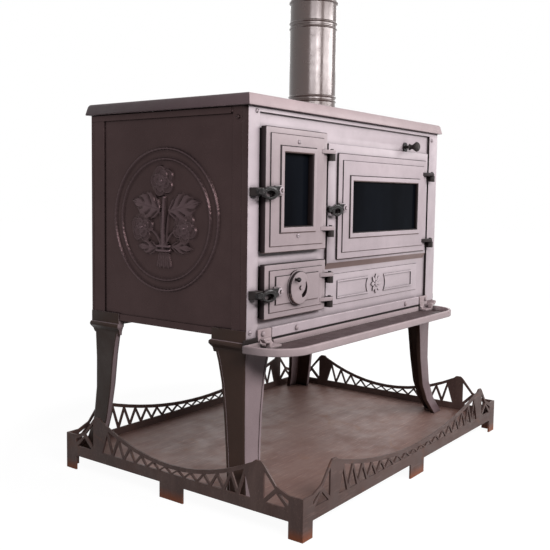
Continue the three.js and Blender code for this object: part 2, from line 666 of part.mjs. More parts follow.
// oven: a steel box open to the front, hung behind the front casting
const ovenX0 = ovenHole.x0 - OVEN_RISE - OVEN_WALL;
const ovenX1 = ovenHole.x1 + OVEN_RISE + OVEN_WALL;
const ovenZ0 = ovenHole.z0 - OVEN_RISE - OVEN_WALL;
const ovenZ1 = ovenHole.z1 + OVEN_RISE + OVEN_WALL;
const RACK_Z = (ovenZ0 + ovenZ1) / 2;
const LEDGE_W = 10;
const LEDGE_T = 4;
const DAMPER_T = 4;
const DAMPER_PLATE_W = 150;
const DAMPER_PLATE_D = 170;
const damperPlateY0 = FLUE_Y - DAMPER_PLATE_D / 2;
// two rails on the oven's roof that the damper slides on
const damperRunners = [FLUE_X - DAMPER_PLATE_W / 2 + 8, ovenX1 - 8].map((x) => {
  const top = DAMPER_Z - DAMPER_T / 2 - SEAT;
  return block(x - 6, x + 6, damperPlateY0 - DAMPER_TRAVEL, OVEN_BACK, ovenZ1 - 1, top);
});
place('oven_box', join(
  cut(
    block(ovenX0, ovenX1, sideY0, OVEN_BACK, ovenZ0, ovenZ1),
    block(ovenX0 + OVEN_WALL, ovenX1 - OVEN_WALL, sideY0 - 1, OVEN_BACK - OVEN_WALL, ovenZ0 + OVEN_WALL, ovenZ1 - OVEN_WALL)),
  block(ovenX0 + 1, ovenX0 + OVEN_WALL + LEDGE_W, sideY0 + 10, OVEN_BACK - 10, RACK_Z - LEDGE_T, RACK_Z),
  block(ovenX1 - OVEN_WALL - LEDGE_W, ovenX1 - 1, sideY0 + 10, OVEN_BACK - 10, RACK_Z - LEDGE_T, RACK_Z),
  damperRunners), darkEnamel());

const RACK_ROD = 3;
const RACK_BARS = 11;
place('oven_rack', (() => {
  const x0 = ovenX0 + OVEN_WALL + SLIP;
  const x1 = ovenX1 - OVEN_WALL - SLIP;
  const y0 = sideY0 + 14;
  const y1 = OVEN_BACK - OVEN_WALL - 12;
  const z0 = RACK_Z + SEAT;
  const outline = rectangle(x0, x1, y0, y1);
  outline.holes.push(rectangle(x0 + 2 * RACK_ROD, x1 - 2 * RACK_ROD, y0 + 2 * RACK_ROD, y1 - 2 * RACK_ROD));
  const rim = extruded('z', outline, z0, z0 + 2 * RACK_ROD, 0, 3);
  const bars = [];
  for (let i = 1; i <= RACK_BARS; i += 1) {
    const x = x0 + ((x1 - x0) * i) / (RACK_BARS + 1);
    bars.push(block(x - RACK_ROD / 2, x + RACK_ROD / 2, y0 + RACK_ROD, y1 - RACK_ROD, z0 + RACK_ROD - 1.5, z0 + RACK_ROD + 1.5));
  }
  return join(rim, bars);
})(), brightSteel());

// ---------------------------------------------------------------- doors
// window opening, raised bead round it and rebate for the glass behind
function windowed(door, win, face, back) {
  const bead = frame(win.x0 - WIN_BEAD, win.x1 + WIN_BEAD, win.z0 - WIN_BEAD, win.z1 + WIN_BEAD, WIN_BEAD);
  const raised = extruded('y', bead, face - BEAD_UP, face + 1, 2.5);
  const well = block(
    win.x0 - GLASS_LAP, win.x1 + GLASS_LAP, back - GLASS_T - SEAT, back + 40,
    win.z0 - GLASS_LAP, win.z1 + GLASS_LAP);
  return cut(join(door, raised), block(win.x0, win.x1, face - 30, back + 40, win.z0, win.z1), well);
}

function latchBase({ x, z, face }) {
  const plate = rectangle(x - LATCH_PLATE_W / 2, x + LATCH_PLATE_W / 2, z - LATCH_PLATE_H / 2, z + LATCH_PLATE_H / 2, 3);
  const pin = disc('y', HINGE_PIN_R, face - LATCH_PLATE_T - SEAT - LATCH_T - 2.5, face + 2, x, 0, z);
  return join(extruded('y', plate, face - LATCH_PLATE_T, face + 1, 0, 3), pin);
}

// lever of one thickness: a hub on the pin, a hanging oval eye for a finger, and a nose
function latchLever({ x, z, face, nose, half }) {
  const back = face - LATCH_PLATE_T - SEAT;
  const front = back - LATCH_T;
  const eyeX = nose + half + 11;
  const eyeZ = z - LATCH_EYE_DROP;
  const high = LATCH_EYE_H / 2;
  const outline = new THREE.Shape().absellipse(eyeX, eyeZ, half, high, 0, 2 * Math.PI);
  const hub = new THREE.Shape().absarc(x, z, LATCH_HUB_R, 0, 2 * Math.PI);
  const arm = polygon([
    [eyeX - 6, z + high - LATCH_EYE_DROP - 7], [x, z - LATCH_HUB_R + 2], [x, z + LATCH_HUB_R], [eyeX - 6, z + high - LATCH_EYE_DROP]]);
  const low = z - LATCH_EYE_DROP / 2;
  const tip = polygon([
    [nose, low - LATCH_NOSE_H / 2 + 2], [nose + 2, low - LATCH_NOSE_H / 2], [nose + 16, low - LATCH_NOSE_H / 2 - 2],
    [nose + 16, low + LATCH_NOSE_H / 2 + 2], [nose + 2, low + LATCH_NOSE_H / 2], [nose, low + LATCH_NOSE_H / 2 - 2]]);
  const hole = new THREE.Shape().absellipse(
    eyeX - 2, eyeZ - 1, half - LATCH_EYE_RIM - 4, high - LATCH_EYE_RIM, 0, 2 * Math.PI);
  return cut(
    join(
      extruded('y', outline, front, back, 2, 5), extruded('y', hub, front, back, 1.5, 3),
      extruded('y', arm, front + 1, back), extruded('y', tip, front + 1.5, back)),
    extruded('y', hole, front - 5, back + 5, 0, 4),
    disc('y', PIN_BORE_R, front - 5, back + 5, x, 0, z));
}

function doorBody(x0, x1, z0, z1, face, innerInset, lift) {
  const leaf = extruded('y', rectangle(x0, x1, z0, z1, 3), face, doorBack, DOOR_BEVEL, 2);
  const raised = extruded(
    'y', rectangle(x0 + innerInset, x1 - innerInset, z0 + innerInset - 3, z1 - innerInset + 3),
    face - lift, face + 1, 1.4);
  return join(leaf, raised);
}

function withHinges(door, pinX, out, levels, doorX, face) {
  const tabs = levels.map((z) => hingeTab(pinX, out, z + KNUCKLE_H + SEAT, doorX, face, doorBack - 0.2));
  return cut(join(door, tabs.map((tab) => tab.body)), tabs.map((tab) => tab.bore));
}

const boss = (h, face, depth) => frame(h.x0 + 3, h.x1 - 3, h.z0 + 3, h.z1 - 3, 6);
const plugRing = (h, depth) => extruded('y', boss(h), doorBack - 2, depth);
const PLUG_DEPTH = 9; // ring behind the door that reaches into the opening

const fireLeaf = join(doorBody(FIRE_X0, FIRE_X1, FIRE_Z0, FIRE_Z1, fireFace, 16, DOOR_LIFT), plugRing(fireHole, PLUG_DEPTH));
place('firebox_door', withHinges(
  join(windowed(fireLeaf, FIRE_WIN, fireFace, doorBack), latchBase(latches.firebox)),
  FIRE_PIN_X, HINGE_OUT, fireHinges, FIRE_X1, fireFace), enamel());

const ovenLeaf = join(doorBody(OVEN_X0, OVEN_X1, OVEN_Z0, OVEN_Z1, ovenFace, 19, DOOR_LIFT), plugRing(ovenHole, PLUG_DEPTH));
const glassWell = join(
  extruded('y', frame(OVEN_WIN.x0 - 14, OVEN_WIN.x1 + 14, OVEN_WIN.z0 - 14, OVEN_WIN.z1 + 14, 6), doorBack - 2, PLUG_DEPTH));
place('oven_door', withHinges(
  join(windowed(ovenLeaf, OVEN_WIN, ovenFace, ovenFace + 3 + GLASS_T), glassWell, latchBase(latches.oven)),
  OVEN_PIN_X, OVEN_HINGE_OUT, ovenHinges, OVEN_X1, ovenFace), enamel());

function pane(win, back) {
  const inset = GLASS_LAP - 0.8;
  return extruded('y', rectangle(win.x0 - inset, win.x1 + inset, win.z0 - inset, win.z1 + inset, 2), back - GLASS_T, back, 0, 2);
}
place('firebox_glass', pane(FIRE_WIN, doorBack), darkGlass());
place('oven_glass', pane(OVEN_WIN, ovenFace + 3 + GLASS_T), darkGlass());

// sheet frame that holds the glass in its rebate from behind
function retainer(win, from) {
  const outer = GLASS_LAP + 5;
  const shape = rectangle(win.x0 - outer, win.x1 + outer, win.z0 - outer, win.z1 + outer);
  shape.holes.push(rectangle(win.x0 - 3, win.x1 + 3, win.z0 - 3, win.z1 + 3));
  return extruded('y', shape, from, from + CLIP_T);
}
place('firebox_glass_clip', retainer(FIRE_WIN, doorBack + SEAT), castIron());
const ovenClipOuter = GLASS_LAP - 1;
place('oven_glass_clip', (() => {
  const w = OVEN_WIN;
  const shape = rectangle(w.x0 - ovenClipOuter, w.x1 + ovenClipOuter, w.z0 - ovenClipOuter, w.z1 + ovenClipOuter);
  shape.holes.push(rectangle(w.x0 - 3, w.x1 + 3, w.z0 - 3, w.z1 + 3));
  return extruded('y', shape, ovenFace + 3 + GLASS_T + SEAT, ovenFace + 3 + GLASS_T + SEAT + CLIP_T);
})(), castIron());

// ash door with a raised tablet and the seat of the air disc
const ashLeaf = join(
  doorBody(FIRE_X0, FIRE_X1, ASH_Z0, ASH_Z1, fireFace, 16, DOOR_LIFT),
  extruded('y', rectangle(FIRE_X0 + 35, FIRE_X1 - 35, ASH_Z0 + 29, ASH_Z1 - 26), fireFace - DOOR_LIFT - 3, fireFace, 1.5),
  disc('y', DISC_R + 2, fireFace - DISC_BOSS, fireFace + 1, DISC_X, 0, DISC_Z, ROUND),
  plugRing(ashHole, PLUG_DEPTH));

// comma-shaped air slot, thin at its upper end and full at its lower one
function comma(grow, y0, y1) {
  const steps = 7;
  const rim = [];
  const inside = [];
  for (let i = 0; i <= steps; i += 1) {
    const t = i / steps;
    const angle = (COMMA_FROM + (COMMA_TO - COMMA_FROM) * t) * (Math.PI / 180);
    const full = Math.sin(Math.PI * Math.min(1, 0.12 + 0.8 * t)) * 1.06;
    const middle = DISC_R * (0.66 - 0.12 * t);
    const half = DISC_R * 0.045 + DISC_R * 0.17 * full * t + grow;
    rim.push([DISC_X + (middle + half) * Math.cos(angle), DISC_Z + (middle + half) * Math.sin(angle)]);
    inside.push([DISC_X + (middle - half) * Math.cos(angle), DISC_Z + (middle - half) * Math.sin(angle)]);
  }
  return extruded('y', polygon([...inside, ...rim.reverse()]), y0, y1);
}
const discFace = fireFace - DISC_BOSS - SEAT;
const airPivot = disc('y', HINGE_PIN_R, discFace - DISC_T - 3, fireFace - 1, DISC_X, 0, DISC_Z);
place('ash_door', withHinges(
  join(cut(ashLeaf, comma(0.8, -60, 5)), airPivot, latchBase(latches.ash)),
  FIRE_PIN_X, HINGE_OUT, ashHinges, FIRE_X1, fireFace), enamel());

const knobX = DISC_X + DISC_KNOB_R * Math.cos((DISC_KNOB_AT * Math.PI) / 180);
const knobZ = DISC_Z + DISC_KNOB_R * Math.sin((DISC_KNOB_AT * Math.PI) / 180);
const knobFoot = discFace - DISC_T;
place('air_disc', cut(
  join(
    extruded('y', new THREE.Shape().absarc(DISC_X, DISC_Z, DISC_R, 0, 2 * Math.PI), knobFoot, discFace, 1.5, 12),
    turned('y', [
      [0, discFace - 3], [4, discFace - 3], [3, knobFoot - 4], [5.5, knobFoot - 7], [5.5, knobFoot - 11],
      [3, knobFoot - 14], [0, knobFoot - 14]].reverse(), knobX, 0, knobZ, 10)),
  comma(0, discFace - 30, discFace + 5),
  disc('y', PIN_BORE_R, discFace - 30, discFace + 5, DISC_X, 0, DISC_Z)), enamel());

Object.entries(latches).forEach(([name, latch]) => place(`${name}_latch`, latchLever(latch), darkEnamel()));

// ---------------------------------------------------------------- cooking top
const topX0 = -TOP_OVERHANG;
const topX1 = BODY_W + TOP_OVERHANG;
const topY0 = -TOP_OVERHANG;
const topY1 = BODY_D + TOP_OVERHANG;
const topZ0 = BODY_H + SEAT;
const topZ1 = topZ0 + TOP_T;

// plate with an edge that flares outwards to its lower lip
function topBlank() {
  const edge = [[TOP_FLARE, 0], [TOP_FLARE, 3], [2, TOP_T - 5], [0, TOP_T - 2], [-2, TOP_T]];
  const rings = edge.map(([out, up]) => [
    [topX0 - out, topY0 - out], [topX1 + out, topY0 - out], [topX1 + out, topY1 + out], [topX0 - out, topY1 + out],
  ].map(([x, y]) => [x, y, topZ0 + up]));
  return loft(rings);
}

// closed skin through rings of points that all run anticlockwise seen from above, lowest first
function loft(rings) {
  const count = rings[0].length;
  const positions = rings.flat(2);
  const index = [];
  for (let level = 0; level + 1 < rings.length; level += 1) {
    for (let i = 0; i < count; i += 1) {
      const next = (i + 1) % count;
      const a = level * count + i;
      const b = level * count + next;
      index.push(a, b, b + count, a, b + count, a + count);
    }
  }
  const flat = (points) => points.map(([x, y]) => new THREE.Vector2(x, y));
  const bottomFaces = THREE.ShapeUtils.triangulateShape(flat(rings[0]), []);
  const topFaces = THREE.ShapeUtils.triangulateShape(flat(rings[rings.length - 1]), []);
  const last = (rings.length - 1) * count;
  bottomFaces.forEach(([a, b, c]) => index.push(c, b, a));
  topFaces.forEach(([a, b, c]) => index.push(last + a, last + b, last + c));
  const geometry = new THREE.BufferGeometry();
  geometry.setAttribute('position', new THREE.Float32BufferAttribute(positions, 3));
  geometry.setIndex(index);
  return solid(geometry);
}

const skinZ = topZ1 - TOP_SKIN;
const outerSeatZ = topZ1 - HOB_RING_T;
const flueSeatZ = topZ1 + FLUE_SEAT_UP;
place('top_plate', cut(
  join(
    cut(topBlank(), block(SIDE_T + TOP_RIM_T, BODY_W - SIDE_T - TOP_RIM_T, FRONT_T + TOP_RIM_T, BODY_D - BACK_T - TOP_RIM_T, topZ0 - 1, skinZ)),
    ring(HOB_X, HOB_Y, tubeWall(HOB_R - HOB_STEP, HOB_R + HOB_STEP, outerSeatZ - 8, skinZ + 1)),
    disc('z', COLLAR_FLANGE_R + 2, skinZ + 1, flueSeatZ, FLUE_X, FLUE_Y, 0, ROUND)),
  disc('z', HOB_R - HOB_STEP, topZ0 - 20, topZ1 + 5, HOB_X, HOB_Y, 0, ROUND),
  disc('z', HOB_R + SEAT, outerSeatZ, topZ1 + 5, HOB_X, HOB_Y, 0, ROUND),
  disc('z', PIPE_R - 6, topZ0 - 5, topZ1 + 5, FLUE_X, FLUE_Y, 0, ROUND)), enamel());

// stepped rings: each hangs by a lip in the rebate of the one round it
const lipT = HOB_RING_T / 2;
const hobRing = (r1, r0, inStep) => [
  [r0 - inStep, outerSeatZ + SEAT], [r1, outerSeatZ + SEAT], [r1, topZ1], [r0 + SEAT, topZ1],
  [r0 + SEAT, outerSeatZ + SEAT + lipT], [r0 - inStep, outerSeatZ + SEAT + lipT]];
place('hob_ring_outer', ring(HOB_X, HOB_Y, hobRing(HOB_R, HOB_RING_R, HOB_STEP)), castIron());
place('hob_ring_inner', ring(HOB_X, HOB_Y, [
  [HOB_LID_R - HOB_STEP, outerSeatZ + SEAT], [HOB_RING_R - HOB_STEP - SLIP, outerSeatZ + SEAT],
  [HOB_RING_R - HOB_STEP - SLIP, outerSeatZ + 2 * SEAT + lipT], [HOB_RING_R, outerSeatZ + 2 * SEAT + lipT],
  [HOB_RING_R, topZ1], [HOB_LID_R + SEAT, topZ1], [HOB_LID_R + SEAT, outerSeatZ + SEAT + lipT],
  [HOB_LID_R - HOB_STEP, outerSeatZ + SEAT + lipT]]), castIron());
place('hob_lid', (() => {
  const z0 = outerSeatZ + 2 * SEAT + lipT;
  const body = turned('z', [
    [0, outerSeatZ + SEAT], [HOB_LID_R - HOB_STEP - SLIP, outerSeatZ + SEAT], [HOB_LID_R - HOB_STEP - SLIP, z0],
    [HOB_LID_R, z0], [HOB_LID_R, topZ1], [0, topZ1]], HOB_X, HOB_Y, 0, ROUND);
  // key slot for the lifter, with a narrow neck
  const slot = join(
    disc('z', 7, topZ1 - 5, topZ1 + 5, HOB_X + 22, HOB_Y, 0, 12),
    block(HOB_X + 22, HOB_X + 40, HOB_Y - 3, HOB_Y + 3, topZ1 - 5, topZ1 + 5));
  return cut(body, slot);
})(), castIron());

// ---------------------------------------------------------------- flue
const collarZ0 = flueSeatZ + SEAT;
place('flue_collar', ring(FLUE_X, FLUE_Y, [
  [PIPE_R - 6, collarZ0], [COLLAR_FLANGE_R, collarZ0], [COLLAR_FLANGE_R, collarZ0 + COLLAR_FLANGE_T],
  [PIPE_R + COLLAR_T + 5, collarZ0 + COLLAR_FLANGE_T + 3], [PIPE_R + COLLAR_T, collarZ0 + COLLAR_FLANGE_T + 8],
  [PIPE_R + COLLAR_T, collarZ0 + COLLAR_H - 3], [PIPE_R + COLLAR_T - 2, collarZ0 + COLLAR_H],
  [PIPE_R + SEAT, collarZ0 + COLLAR_H], [PIPE_R + SEAT, collarZ0 + COLLAR_FLANGE_T],
  [PIPE_R - 6, collarZ0 + COLLAR_FLANGE_T]]), castIron());

// pipe wall with rolled beads, as a closed profile from the inside bottom round
function pipeWall(z0, z1, beads, r1, swage = 0) {
  const outside = beads.flatMap(([z, r]) => [[r1, z - 2 * r], [r1 + r, z], [r1, z + 2 * r]]);
  const profile = [[r1 - PIPE_T, z0], [r1, z0], ...outside, [r1, z1], [r1 - PIPE_T, z1]];
  return ring(FLUE_X, FLUE_Y, profile);
}
const pipeZ0 = collarZ0 + COLLAR_FLANGE_T + SEAT;
place('flue_pipe_lower', pipeWall(pipeZ0, PIPE_LOW_TOP - SEAT, [[BEAD_LOW - BEAD_PAIR, BEAD_R], [BEAD_LOW, BEAD_R]], PIPE_R), pipeEnamel());

// upper length: its crimped lower end slips inside the lower one and rests on its rim
const UPPER_BEAD_R = 4.4;
place('flue_pipe_upper', (() => {
  const inner = PIPE_R - PIPE_T - SEAT;
  const z0 = PIPE_LOW_TOP - PIPE_LAP;
  const beadAt = [[PIPE_LOW_TOP + 8, BEAD_R], [BEAD_TOP, UPPER_BEAD_R]];
  const outside = beadAt.flatMap(([z, r]) => [[PIPE_R, z - 2 * r], [PIPE_R + r, z], [PIPE_R, z + 2 * r]]);
  return ring(FLUE_X, FLUE_Y, [
    [inner - PIPE_T, z0], [inner, z0], [inner, PIPE_LOW_TOP], [PIPE_R, PIPE_LOW_TOP], ...outside,
    [PIPE_R, PIPE_TOP], [PIPE_R - PIPE_T, PIPE_TOP], [PIPE_R - PIPE_T, PIPE_LOW_TOP + 8], [inner - PIPE_T, PIPE_LOW_TOP + 2]]);
})(), pipeEnamel());

// ---------------------------------------------------------------- damper
const knobProfile = [
  [0, -36], [8, -36], [12, -33], [13.5, -29], [9, -22], [6, -17], [6, -12], [9, -8], [0, -8]];
place('damper_knob', cut(
  turned('y', knobProfile, DAMPER_X, 0, DAMPER_Z, 14),
  disc('y', DAMPER_ROD_R + SEAT, -20 - SEAT, 10, DAMPER_X, 0, DAMPER_Z)), castIron());
place('damper_flange', cut(
  disc('y', 12.5, FRONT_RECESS - 3 - SEAT, FRONT_RECESS - SEAT, DAMPER_X, 0, DAMPER_Z, 14),
  disc('y', DAMPER_ROD_R + SLIP, -20, 20, DAMPER_X, 0, DAMPER_Z)), brightSteel());
place('damper_plate', join(
  block(
    FLUE_X - DAMPER_PLATE_W / 2, FLUE_X + DAMPER_PLATE_W / 2, damperPlateY0, damperPlateY0 + DAMPER_PLATE_D,
    DAMPER_Z - DAMPER_T / 2, DAMPER_Z + DAMPER_T / 2),
  disc('y', DAMPER_ROD_R, -20, damperPlateY0 + 12, DAMPER_X, 0, DAMPER_Z)), castIron());

// ---------------------------------------------------------------- legs
// share of the leg's height, reach of both flanges, where the outer corner lies and its rounding
const LEG_SHAPE = [
  [0.085, 80, 3, 8], [0.17, 71, 3.5, 8], [0.3, 61, 4.7, 7.5], [0.52, 53, 4.5, 7], [0.74, 48, 0, 7], [0.88, 46.5, -10, 7],
  [1, 47, -27, 7]];

// L section: two flanges round the outer corner, each ending in a bead
function legSection(z, reach, corner, round) {
  const w = LEG_WALL;
  const b = LEG_BEAD;
  const far = corner + reach;
  const points = [
    [corner + round, corner], [far - b, corner], [far - b, corner - 1.5], [far + b, corner - 1.5], [far + b, corner + w + 2],
    [far - b, corner + w + 2], [far - b, corner + w], [corner + w + 4, corner + w]];
  const mirrored = points.map(([x, y]) => [y, x]).reverse();
  const softCorner = [[corner + round * 0.3, corner + round * 0.3]];
  return [...points, ...mirrored, ...softCorner].map(([x, y]) => [x, y, z]);
}

function leg() {
  const shank = loft([...LEG_SHAPE].reverse().map(([t, reach, corner, round]) => legSection(-t * LEG_H, reach, corner, round)));
  const collarBottom = -(COLLAR_DROP + COLLAR_TALL);
  // moulded collar that narrows down into the shank
  const square = (out, z) => {
    const side = -out;
    const front = Math.max(side, 0); // the shelf lies close in front
    const far = LEG_HEAD + out * 0.4;
    return [[side, front], [far, front], [far, far], [side, far]].map(([x, y]) => [x, y, z]);
  };
  const collar = loft([
    square(-4, collarBottom - 16), square(-1, collarBottom - 6), square(COLLAR_OUT * 0.4, collarBottom - 2),
    square(COLLAR_OUT, collarBottom + 3), square(COLLAR_OUT, -COLLAR_DROP - 3), square(COLLAR_OUT - 3, -COLLAR_DROP),
    square(LEG_LUG_T, -COLLAR_DROP + 1), square(LEG_LUG_T, -SEAT)]);
  const hollow = block(LEG_WALL + 2, LEG_HEAD + 20, LEG_WALL + 2, LEG_HEAD + 20, -60, -COLLAR_DROP);
  const sideLug = block(-LEG_LUG_T, -SEAT, 0, LEG_HEAD, -2, LEG_LUG_UP);
  return join(shank, cut(collar, hollow), sideLug);
}
const legBody = leg();
const underBody = (body, mirrorX, mirrorY) => body
  .scale([mirrorX ? -1 : 1, mirrorY ? -1 : 1, 1])
  .translate([mirrorX ? BODY_W : 0, mirrorY ? BODY_D : 0, 0]);
place('leg_front_left', underBody(legBody, false, false), enamel());
place('leg_front_right', underBody(legBody, true, false), enamel());
place('leg_back_left', underBody(legBody, false, true), enamel());
place('leg_back_right', underBody(legBody, true, true), enamel());

// ---------------------------------------------------------------- front shelf
const shelfZ0 = SHELF_TOP - SHELF_H;
function shelfOutline(inset) {
  const shape = new THREE.Shape();
  const x0 = SHELF_X0 + inset;
  const x1 = SHELF_X1 - inset;
  const y0 = SHELF_Y1 - SHELF_DEPTH + inset;
  const y1 = SHELF_Y1 - inset;
  const r = SHELF_CORNER - inset;
  shape.moveTo(x0, y1);
  shape.lineTo(x0, y0 + r);
  shape.absarc(x0 + r, y0 + r, r, Math.PI, 1.5 * Math.PI, false);
  shape.lineTo(x1 - r, y0);
  shape.absarc(x1 - r, y0 + r, r, 1.5 * Math.PI, 2 * Math.PI, false);
  shape.lineTo(x1, y1);
  return shape;
}
const shelfBlank = extruded('z', shelfOutline(0), shelfZ0, SHELF_TOP, 1.6, 8);
const shelfWell = extruded('z', shelfOutline(SHELF_WALL), shelfZ0 + SHELF_FLOOR, SHELF_TOP + 5, 0, 8);
const BRACKET_W = 46;
const BRACKET_T = 5;
const BRACKET_FOOT = 34;
const BRACKET_FOOT_W = 40;
const BRACKET_SCREW_Z = 7;
// plate, foot and screw of each bracket, and the side its hook points to
const BRACKETS = [
  { name: 'left', plate: 34, foot: 38, screw: 49, hook: -1 },
  { name: 'right', plate: FASCIA_X1 + 7, foot: SHELF_X1 - SHELF_WALL - 4 - BRACKET_FOOT_W, screw: FASCIA_X1 + 41, hook: 1 },
];
const bracketNotch = BRACKETS.map(({ foot }) => block(
  foot - 4, foot + BRACKET_FOOT_W + 3, SHELF_Y1 - SHELF_WALL - 1, SHELF_Y1 + 1, shelfZ0 + SHELF_FLOOR, SHELF_TOP + 1));
place('front_shelf', cut(shelfBlank, shelfWell, bracketNotch), enamel());

const bracketTop = 16.5;
// screwed plate, foot lying in the shelf, and a hooked end that reaches over the shelf's rim
function bracket({ plate, foot, screw, hook }) {
  const back = -SEAT;
  const front = back - BRACKET_T;
  const floor = shelfZ0 + SHELF_FLOOR + SEAT;
  const plateZ = SHELF_TOP + 1;
  const footX1 = foot + BRACKET_FOOT_W;
  const rise = polygon([
    [back - 4.2, floor], [back - 4.2, plateZ + 4], [front - 2, plateZ + 4], [front - 2, floor + BRACKET_T + 5],
    [front - 8, floor + BRACKET_T], [back - BRACKET_FOOT, floor + BRACKET_T], [back - BRACKET_FOOT, floor]]);
  const end = hook > 0 ? footX1 : foot;
  const strip = [
    [end - hook * 8, floor + 1], [end, floor + 1], [end + hook * 1, SHELF_TOP + 1], [end + hook * 14, SHELF_TOP + 2],
    [end + hook * 22, SHELF_TOP + 11], [end + hook * 17, SHELF_TOP + 14], [end + hook * 9, SHELF_TOP + 7],
    [end - hook * 6, SHELF_TOP + 6]];
  return cut(
    join(
      extruded('y', rectangle(plate, plate + BRACKET_W, plateZ, bracketTop, 2), front, back, 0, 2),
      extruded('x', rise, Math.max(foot, plate), Math.min(footX1, plate + BRACKET_W)),
      block(foot, footX1, back - BRACKET_FOOT, front - 7, floor, floor + BRACKET_T),
      extruded('y', polygon(hook > 0 ? strip : strip.reverse()), back - BRACKET_FOOT, back - BRACKET_FOOT + 12, 1)),
    disc('y', BOLT_R + SEAT, -20, 5, screw, 0, BRACKET_SCREW_Z, 10));
}
BRACKETS.forEach((parts) => {
  place(`shelf_bracket_${parts.name}`, bracket(parts), enamel());
  const body = bolt(parts.screw, BRACKET_SCREW_Z, -2 * SEAT - BRACKET_T, -SEAT - 0.2);
  place(`bracket_bolt_${parts.name}`, body, brightSteel());
});

// ---------------------------------------------------------------- floor tray and fences
const floorZ0 = TRAY_FEET - TRAY_SHEET;
tray.add(meshOf('tray_floor', block(
  -TRAY_W / 2 + FENCE_T + SEAT, TRAY_W / 2 - FENCE_T - SEAT,
  -TRAY_D / 2 + FENCE_T + SEAT, TRAY_D / 2 - FENCE_T - SEAT, floorZ0, TRAY_FEET), traySteel()));

// one fence: posts and pillars joined by a slung cable over a web of struts, all one cut sheet
function fence(axis, length, endCut) {
  const half = length / 2;
  const base = TRAY_FEET;
  const trueHalf = half + endCut;
  const pillarAt = trueHalf - FENCE_PILLAR_AT;
  const mainHalf = pillarAt - FENCE_PILLAR / 2;
  const cableTop = (s) => base + FENCE_DIP + (FENCE_PILLAR_H - 6 - FENCE_DIP) * (s / mainHalf) ** 2;
  const postInner = trueHalf - FENCE_POST;
  const shortSpan = postInner - (pillarAt + FENCE_PILLAR / 2);
  const shortTop = (s) => {
    const t = (postInner - s) / shortSpan;
    return base + FENCE_POST_H + (FENCE_PILLAR_H - 6 - FENCE_POST_H) * t * t;
  };
  const panels = 2 * Math.round(mainHalf / FENCE_PITCH);
  const pitch = (2 * mainHalf) / panels;
  const knots = [];
  for (let i = 0; i <= panels; i += 1) knots.push(-mainHalf + i * pitch);
  const right = [];
  right.push([half, 0], [half, base + FENCE_POST_H], [postInner, base + FENCE_POST_H]);
  right.push([postInner - shortSpan / 2, shortTop(postInner - shortSpan / 2)]);
  right.push([pillarAt + FENCE_PILLAR / 2, base + FENCE_PILLAR_H - 6], [pillarAt + FENCE_PILLAR / 4, base + FENCE_PILLAR_H]);
  right.push([pillarAt - FENCE_PILLAR / 4, base + FENCE_PILLAR_H], [pillarAt - FENCE_PILLAR / 2, base + FENCE_PILLAR_H - 6]);
  const cable = knots.slice(1, -1).reverse().map((s) => [s, cableTop(s)]);
  const left = right.map(([s, t]) => [-s, t]).reverse();
  const foot = FENCE_FOOT / 2;
  const band = base - TRAY_SHEET - 3;
  const underside = [
    [-trueHalf + FENCE_POST, 0], [-trueHalf + FENCE_POST, band], [-foot, band], [-foot, 0],
    [foot, 0], [foot, band], [trueHalf - FENCE_POST, band], [trueHalf - FENCE_POST, 0]];
  const shape = polygon([...underside, ...right, ...cable, ...left]);
  const low = base + FENCE_BAND;
  const web = FENCE_WEB;
  const under = (s) => {
    // straight between the knots, as the outline above it is
    const i = Math.min(panels - 1, Math.max(0, Math.floor((s + mainHalf) / pitch)));
    const s0 = knots[i];
    const t = (s - s0) / pitch;
    return cableTop(s0) * (1 - t) + cableTop(s0 + pitch) * t - FENCE_CABLE;
  };
  const windows = [];
  const opening = (points) => {
    const wide = points.reduce((area, [a, b], i) => {
      const [c, d] = points[(i + 1) % points.length];
      return area + a * d - c * b;
    }, 0);
    const ordered = wide > 0 ? points : [...points].reverse();
    windows.push(extruded(axis, polygon(ordered), -1, FENCE_T + 1));
  };
  for (let i = 0; i < panels; i += 1) {
    const s0 = knots[i];
    const s1 = knots[i + 1];
    const mid = (s0 + s1) / 2;
    const lift = under(mid) - low;
    const share = (2 * web) / pitch;
    opening([[s0 + web * 1.2, low], [s1 - web * 1.2, low], [mid, low + lift * (1 - share * 1.2)]]);
    if (i + 1 < panels) {
      opening([
        [s1, low + lift * share], [mid + pitch - web, under(mid + pitch - web)],
        [s1, under(s1)], [mid + web, under(mid + web)]]);
    }
  }
  [-1, 1].forEach((side) => {
    const s0 = pillarAt + FENCE_PILLAR / 2;
    const s1 = postInner;
    const mid = (s0 + s1) / 2;
    const line = (s) => {
      const a = shortTop(s0);
      const m = shortTop(mid);
      const b = shortTop(s1);
      const top = s < mid ? a + ((m - a) * (s - s0)) / (mid - s0) : m + ((b - m) * (s - mid)) / (s1 - mid);
      return top - FENCE_CABLE;
    };
    const apex = low + (line(mid) - low) * 0.82;
    opening([[side * (s0 + 2 * web), low], [side * (s1 - 2 * web), low], [side * mid, apex]]);
    opening([[side * s0, low + 6], [side * (mid - web), line(mid - web)], [side * s0, line(s0) - 2]]);
    opening([[side * s1, low + 6], [side * (mid + web), line(mid + web)], [side * s1, line(s1) - 1]]);
  });
  return cut(extruded(axis, shape, 0, FENCE_T), windows);
}

const longFence = fence('y', TRAY_W, 0);
const sideFence = fence('x', TRAY_D - 2 * (FENCE_T + SEAT), FENCE_T + SEAT);
tray.add(meshOf('tray_fence_front', longFence.translate([0, -TRAY_D / 2, 0]), fenceSteel()));
tray.add(meshOf('tray_fence_back', longFence.translate([0, TRAY_D / 2 - FENCE_T, 0]), fenceSteel()));
tray.add(meshOf('tray_fence_left', sideFence.translate([-TRAY_W / 2, 0, 0]), fenceSteel()));
tray.add(meshOf('tray_fence_right', sideFence.translate([TRAY_W / 2 - FENCE_T, 0, 0]), fenceSteel()));

const group = new THREE.Group();
group.name = 'wood_cookstove';
group.add(stove, tray);

export default group;
